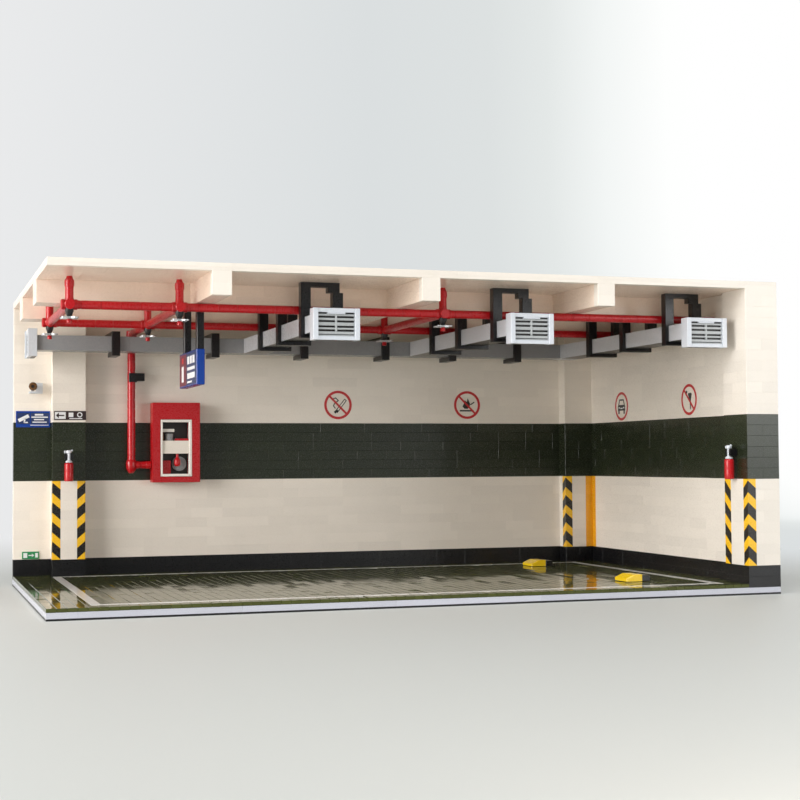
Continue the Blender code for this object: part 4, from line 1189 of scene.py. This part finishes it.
class FixSigns(bpy.types.Operator):
    """Fix the hanging sign, the wall signs and the floor-level exit sign, all with generic marks"""

    bl_idname = "garage.fix_signs"
    bl_label = "Fix the signs"

    def execute(self, context):
        self.hanging_sign()
        # The drawing planes of the back wall and the side wall
        back = Matrix(((1, 0, 0, 0), (0, 0, -1, WALL_FACE), (0, 1, 0, 0), (0, 0, 0, 1)))
        side = Matrix(((0, 0, -1, SIDE_FACE), (-1, 0, 0, 0), (0, 1, 0, 0), (0, 0, 0, 1)))
        pile = Pile(4)
        self.round_sign(pile, back @ at(LEFT + 0.3312, 0.1792, 0), "smoke")
        self.round_sign(pile, back @ at(LEFT + 0.476, 0.180, 0), "flame")
        self.round_sign(pile, side @ at(-(FRONT + 0.2625), 0.1762, 0), "car")
        self.round_sign(pile, side @ at(-(FRONT + 0.1182), 0.1776, 0), "horn")
        pile.finish("round_wall_signs", "ink_red ink_black ink_white", "red_plastic")
        self.corner_signs(back)
        return {"FINISHED"}

    def hanging_sign(self):
        """The blade sign: a blue frame with printed faces of plain blocks."""
        low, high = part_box("hanging_sign")
        top = BEAM_LOW - 0.0374
        length = high.y - low.y
        height = top - low.z
        rim, inset, bar = mm((1.2, 0.5, 7.5))
        pile = Pile(2)
        pile.brick(low, (high.x, high.y, top), 0.0004)
        for y in (low.y + inset, low.y + 0.0595):
            pile.brick((low.x + inset, y, top), (high.x - inset, y + bar, high.z), 0.0003, 1)
        for across, face, start in ((-1, low.x, high.y), (1, high.x, low.y)):
            place = Matrix(((0, 0, across, face), (across, 0, 0, start), (0, 1, 0, low.z), (0, 0, 0, 1)))
            pile.leaf(block(rim, length - rim, rim, height - rim), place, 0.00012, 3)
            pile.leaf(block(rim, length * 0.42, rim, height - rim), place, 0.00018, 4)
            for x0, x1, y0, y1, thickness, ink in HANGING_MARKS:
                outline = block(length * x0, length * x1, height * y0, height * y1)
                pile.leaf(outline, place, thickness, ink)
        pile.finish("hanging_sign_pieces", "blue black ink_white ink_navy ink_maroon ink_red",
                    "blue_plastic", "hanging_sign")

    def round_sign(self, pile, place, mark):
        """A printed ring with a generic mark in it, and a bar across where something is banned."""
        outer, inner, thick, over = mm((15.0, 12.4, 0.15, 0.19))
        pile.ring(outer, inner, place, thick)
        pile.prints(ROUND_MARKS[mark], place)
        if mark == "horn":
            pile.ring(0.0014, 0.0001, place @ at(-0.0046, 0.0074, 0), thick, 1, 12)
        if mark != "car":
            reach = (outer - 0.0012) * math.sqrt(0.5)
            pile.stroke(((-reach, reach), (reach, -reach)), 0.0021, place, over)

    def corner_signs(self, wall):
        """The blue sign, the dark arrow sign and the green exit sign by the left end."""
        pile = Pile(4)
        pile.prints(BLUE_MARKS, wall @ at(LEFT + 0.0023, 0.1554, 0))
        arrow = at(0, STACK_FACE - WALL_FACE, 0) @ wall @ at(LEFT + 0.0374, 0.1623, 0)
        pile.prints(ARROW_MARKS, arrow)
        pile.ring(0.0026, 0.0016, arrow @ at(0.0248, 0.0051, 0), 0.00092, 1, 20)
        pile.prints(EXIT_MARKS, wall @ at(LEFT + 0.0086, SKIRTING_TOP + 0.0004, 0))
        pile.finish("corner_signs", "blue ink_white ink_brown ink_green ink_navy", "blue_plastic")


class SetWheelStops(bpy.types.Operator):
    """Set the two wheel stops"""

    bl_idname = "garage.set_wheel_stops"
    bl_label = "Set the wheel stops"

    def execute(self, context):
        ramp, yellow, lip, cut, step = mm((8.0, 16.0, 2.7, 0.5, 0.8))
        for part in ("front", "rear"):
            node = f"wheel_stop_{part}"
            low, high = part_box(node)
            split = low.x + yellow
            profile = (
                (low.x, low.z), (split, low.z), (split, high.z), (low.x + ramp, high.z),
                (low.x, low.z + lip),
            )
            verts = []
            for y, inset in ((low.y, cut), (low.y + cut, 0.0), (high.y - cut, 0.0), (high.y, cut)):
                for x, z in profile:
                    pull = inset if x < split else -inset
                    drop = inset if z > low.z + EPSILON else 0.0
                    verts.append((x + pull, y, z - drop))
            count = len(profile)
            faces = [tuple(range(count)), tuple(range(3 * count, 4 * count))]
            for row in range(3):
                faces += band(row * count, (row + 1) * count, count)
            pile = Pile(3)
            pile.gather(verts, faces, 0, 0.5)
            pile.brick((split, low.y, low.z), (high.x, high.y, high.z - step), 0.0004, 1)
            pile.finish(f"{node}_wedge", "stop_yellow black", "yellow_brick", node)
        return {"FINISHED"}


class SetStage(bpy.types.Operator):
    """Set the table, the backdrop, the lights and the viewing camera"""

    bl_idname = "garage.set_stage"
    bl_label = "Set the stage"

    def execute(self, context):
        stage = context.scene.garage_stage
        self.table(stage)
        for name, spot, aim, size, watts, tint in (
            ("left_softbox", (-2.9, -1.0, 0.75), (0.2, 0.1, 0.1), 1.6, stage.key, "#FFFEFC"),
            ("right_softbox", (2.0, -2.8, 0.7), (0.2, -0.1, 0.1), 1.1, stage.side, "#FFFFFF"),
            ("left_card", (-0.68, -0.05, 0.12), (0.1, 0.0, 0.5), 0.34, stage.card, "#FFE9D6"),
            ("top_softbox", (-0.3, -1.7, 2.5), (0.0, -0.3, 0.1), 1.6, stage.top, "#FFFFFF"),
            ("front_card", (-0.05, -1.0, 0.03), (0.05, -0.3, 0.7), 0.3, stage.low_card, "#FFEEDC"),
        ):
            # A square soft light that points at the garage
            lamp = bpy.data.lights.new(name, "AREA")
            lamp.size = size
            lamp.energy = watts
            lamp.color = linear(tint)[:3]
            item = bpy.data.objects.new(name, lamp)
            item.location = spot
            item.rotation_euler = (Vector(aim) - Vector(spot)).to_track_quat("-Z", "Y").to_euler()
            item.visible_glossy = name != "front_card"
            context.scene.collection.objects.link(item)
        world = bpy.data.worlds.new("room_light")
        context.scene.world = world
        world.use_nodes = True
        tree = world.node_tree
        tree.nodes.clear()
        glow = add_node(tree, "Background", {"Color": linear("#F1F4F6"), "Strength": stage.sky})
        add_node(tree, "OutputWorld", {"Surface": glow.outputs["Background"]})
        self.camera(context)
        context.scene.view_settings.view_transform = "Standard"
        return {"FINISHED"}

    def table(self, stage):
        """A pale table that sweeps up into the backdrop."""
        half = 7.0
        radius = 0.9
        far = 2.2
        steps = 12
        profile = [(-half, 0.0), (far - radius, 0.0)]
        for step in range(1, steps + 1):
            angle = math.radians(90 * step / steps)
            profile.append((far - radius + radius * math.sin(angle), radius - radius * math.cos(angle)))
        profile.append((far, 6.0))
        mesh = bpy.data.meshes.new("table_sweep")
        verts = [(x, y, z) for y, z in profile for x in (-half, half)]
        faces = [(2 * row, 2 * row + 1, 2 * row + 3, 2 * row + 2) for row in range(len(profile) - 1)]
        mesh.from_pydata(verts, [], faces)
        mesh.shade_smooth()
        material = empty_material("pale_painted_board", stage.table)
        tree = material.node_tree
        place = add_node(tree, "TexCoord", {}).outputs["Object"]
        # Painted board: matt, with the faint dimples that a roller leaves, 1.1 mm apart
        roller = add_node(tree, "TexNoise", {"Vector": place, "Scale": 900.0})
        bump = add_node(tree, "Bump", {
            "Strength": 0.2, "Distance": 0.00002, "Height": roller.outputs["Fac"],
        })
        board = add_node(tree, "BsdfPrincipled", {
            "Base Color": stage.table, "Roughness": 0.5, "IOR": 1.45, "Normal": bump.outputs["Normal"],
        })
        # The backdrop behind the table glows with a pale tone, brighter towards the right: a painted spread
        # of light
        spot = add_node(tree, "SeparateXYZ", {"Vector": place}).outputs
        across = add_node(tree, "MapRange", {"Value": spot["X"], "From Min": -0.2, "From Max": 1.6})
        tone = add_node(tree, "ValToRGB", {"Fac": across.outputs["Result"]})
        stops = tone.color_ramp.elements
        stops[0].color = linear("#E9EAEB")
        stops[1].color = linear("#FFFFFF")
        for position, code in (
            (0.48, "#DBDFE0"), (0.66, "#DDE1E1"), (0.75, "#E4E8E7"), (0.84, "#F3F6F5"), (0.94, "#FEFFFE"),
        ):
            stops.new(position).color = linear(code)
        glow = add_node(tree, "Emission", {"Strength": 1.0, "Color": tone.outputs["Color"]})
        # It shows to the camera, in reflections and through clear plastic, away from the garage
        ray = add_node(tree, "LightPath", {}).outputs
        seen = add_node(tree, "Math", {0: ray["Is Camera Ray"], 1: ray["Is Glossy Ray"]},
                        operation="MAXIMUM")
        seen = add_node(tree, "Math", {0: seen.outputs["Value"], 1: ray["Is Transmission Ray"]},
                        operation="MAXIMUM")
        # Right of the garage the glow begins nearer, as painted light over the garage's shadow on the table
        aside = add_node(tree, "MapRange", {
            "Value": spot["X"], "From Min": 0.33, "From Max": 1.33, "To Max": 2.0,
        })
        depth = add_node(tree, "Math", {0: spot["Y"], 1: aside.outputs["Result"]}, operation="ADD")
        away = add_node(tree, "MapRange", {
            "Value": depth.outputs["Value"], "From Min": 0.1, "From Max": 1.2,
        }, interpolation_type="SMOOTHSTEP")
        share = add_node(tree, "Math", {0: seen.outputs["Value"], 1: away.outputs["Result"]},
                         operation="MULTIPLY")
        mixed = add_node(tree, "MixShader", {
            0: share.outputs["Value"], 1: board.outputs["BSDF"], 2: glow.outputs["Emission"],
        })
        add_node(tree, "OutputMaterial", {"Surface": mixed.outputs["Shader"]})
        mesh.materials.append(material)
        sweep = bpy.data.objects.new("table_sweep", mesh)
        bpy.context.scene.collection.objects.link(sweep)

    def camera(self, context):
        """The photograph's viewpoint, found from the wall and floor edges."""
        focal_pixels, photo_width = 1522.88, 800
        lens = bpy.data.cameras.new("viewpoint")
        lens.sensor_width = 36.0
        lens.lens = focal_pixels / photo_width * 36.0
        item = bpy.data.objects.new("viewpoint", lens)
        turn = spin(-18.2125, "Z") @ spin(90 + 2.267, "X") @ spin(-0.339, "Z")
        item.matrix_world = at(-0.42666, -1.36733, 0.12077) @ turn
        context.scene.collection.objects.link(item)
        context.scene.camera = item


class GaragePanel(bpy.types.Panel):
    """Steps of the garage, in order"""

    bl_idname = "VIEW3D_PT_garage"
    bl_label = "Toy Parking Garage"
    bl_space_type = "VIEW_3D"
    bl_region_type = "UI"
    bl_category = "Garage"

    def draw(self, context):
        for step in STEPS:
            self.layout.operator(step.bl_idname)


STEPS = (
    LayFloor, LayWalls, SetCornerGuards, LayRoof, HangDucts, FitPipes, FitCabinet,
    HangExtinguishers, MountCamera, FixSigns, SetWheelStops, SetStage,
)
GROUPS = (
    ("garage_bricks", GarageBricks),
    ("garage_pipes", GaragePipes),
    ("garage_colours", GarageColours),
    ("garage_stage", GarageStage),
)


def register():
    """Register the classes and hang the settings on the scene."""
    for name, group in GROUPS:
        bpy.utils.register_class(group)
        setattr(bpy.types.Scene, name, PointerProperty(type=group))
    for step in STEPS:
        bpy.utils.register_class(step)
    bpy.utils.register_class(GaragePanel)


def unregister():
    """Take the classes and the settings away again."""
    bpy.utils.unregister_class(GaragePanel)
    for step in reversed(STEPS):
        bpy.utils.unregister_class(step)
    for name, group in reversed(GROUPS):
        delattr(bpy.types.Scene, name)
        bpy.utils.unregister_class(group)


def main():
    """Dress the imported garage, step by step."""
    register()
    for step in STEPS:
        group, name = step.bl_idname.split(".")
        getattr(getattr(bpy.ops, group), name)()


if __name__ == "__main__":
    main()
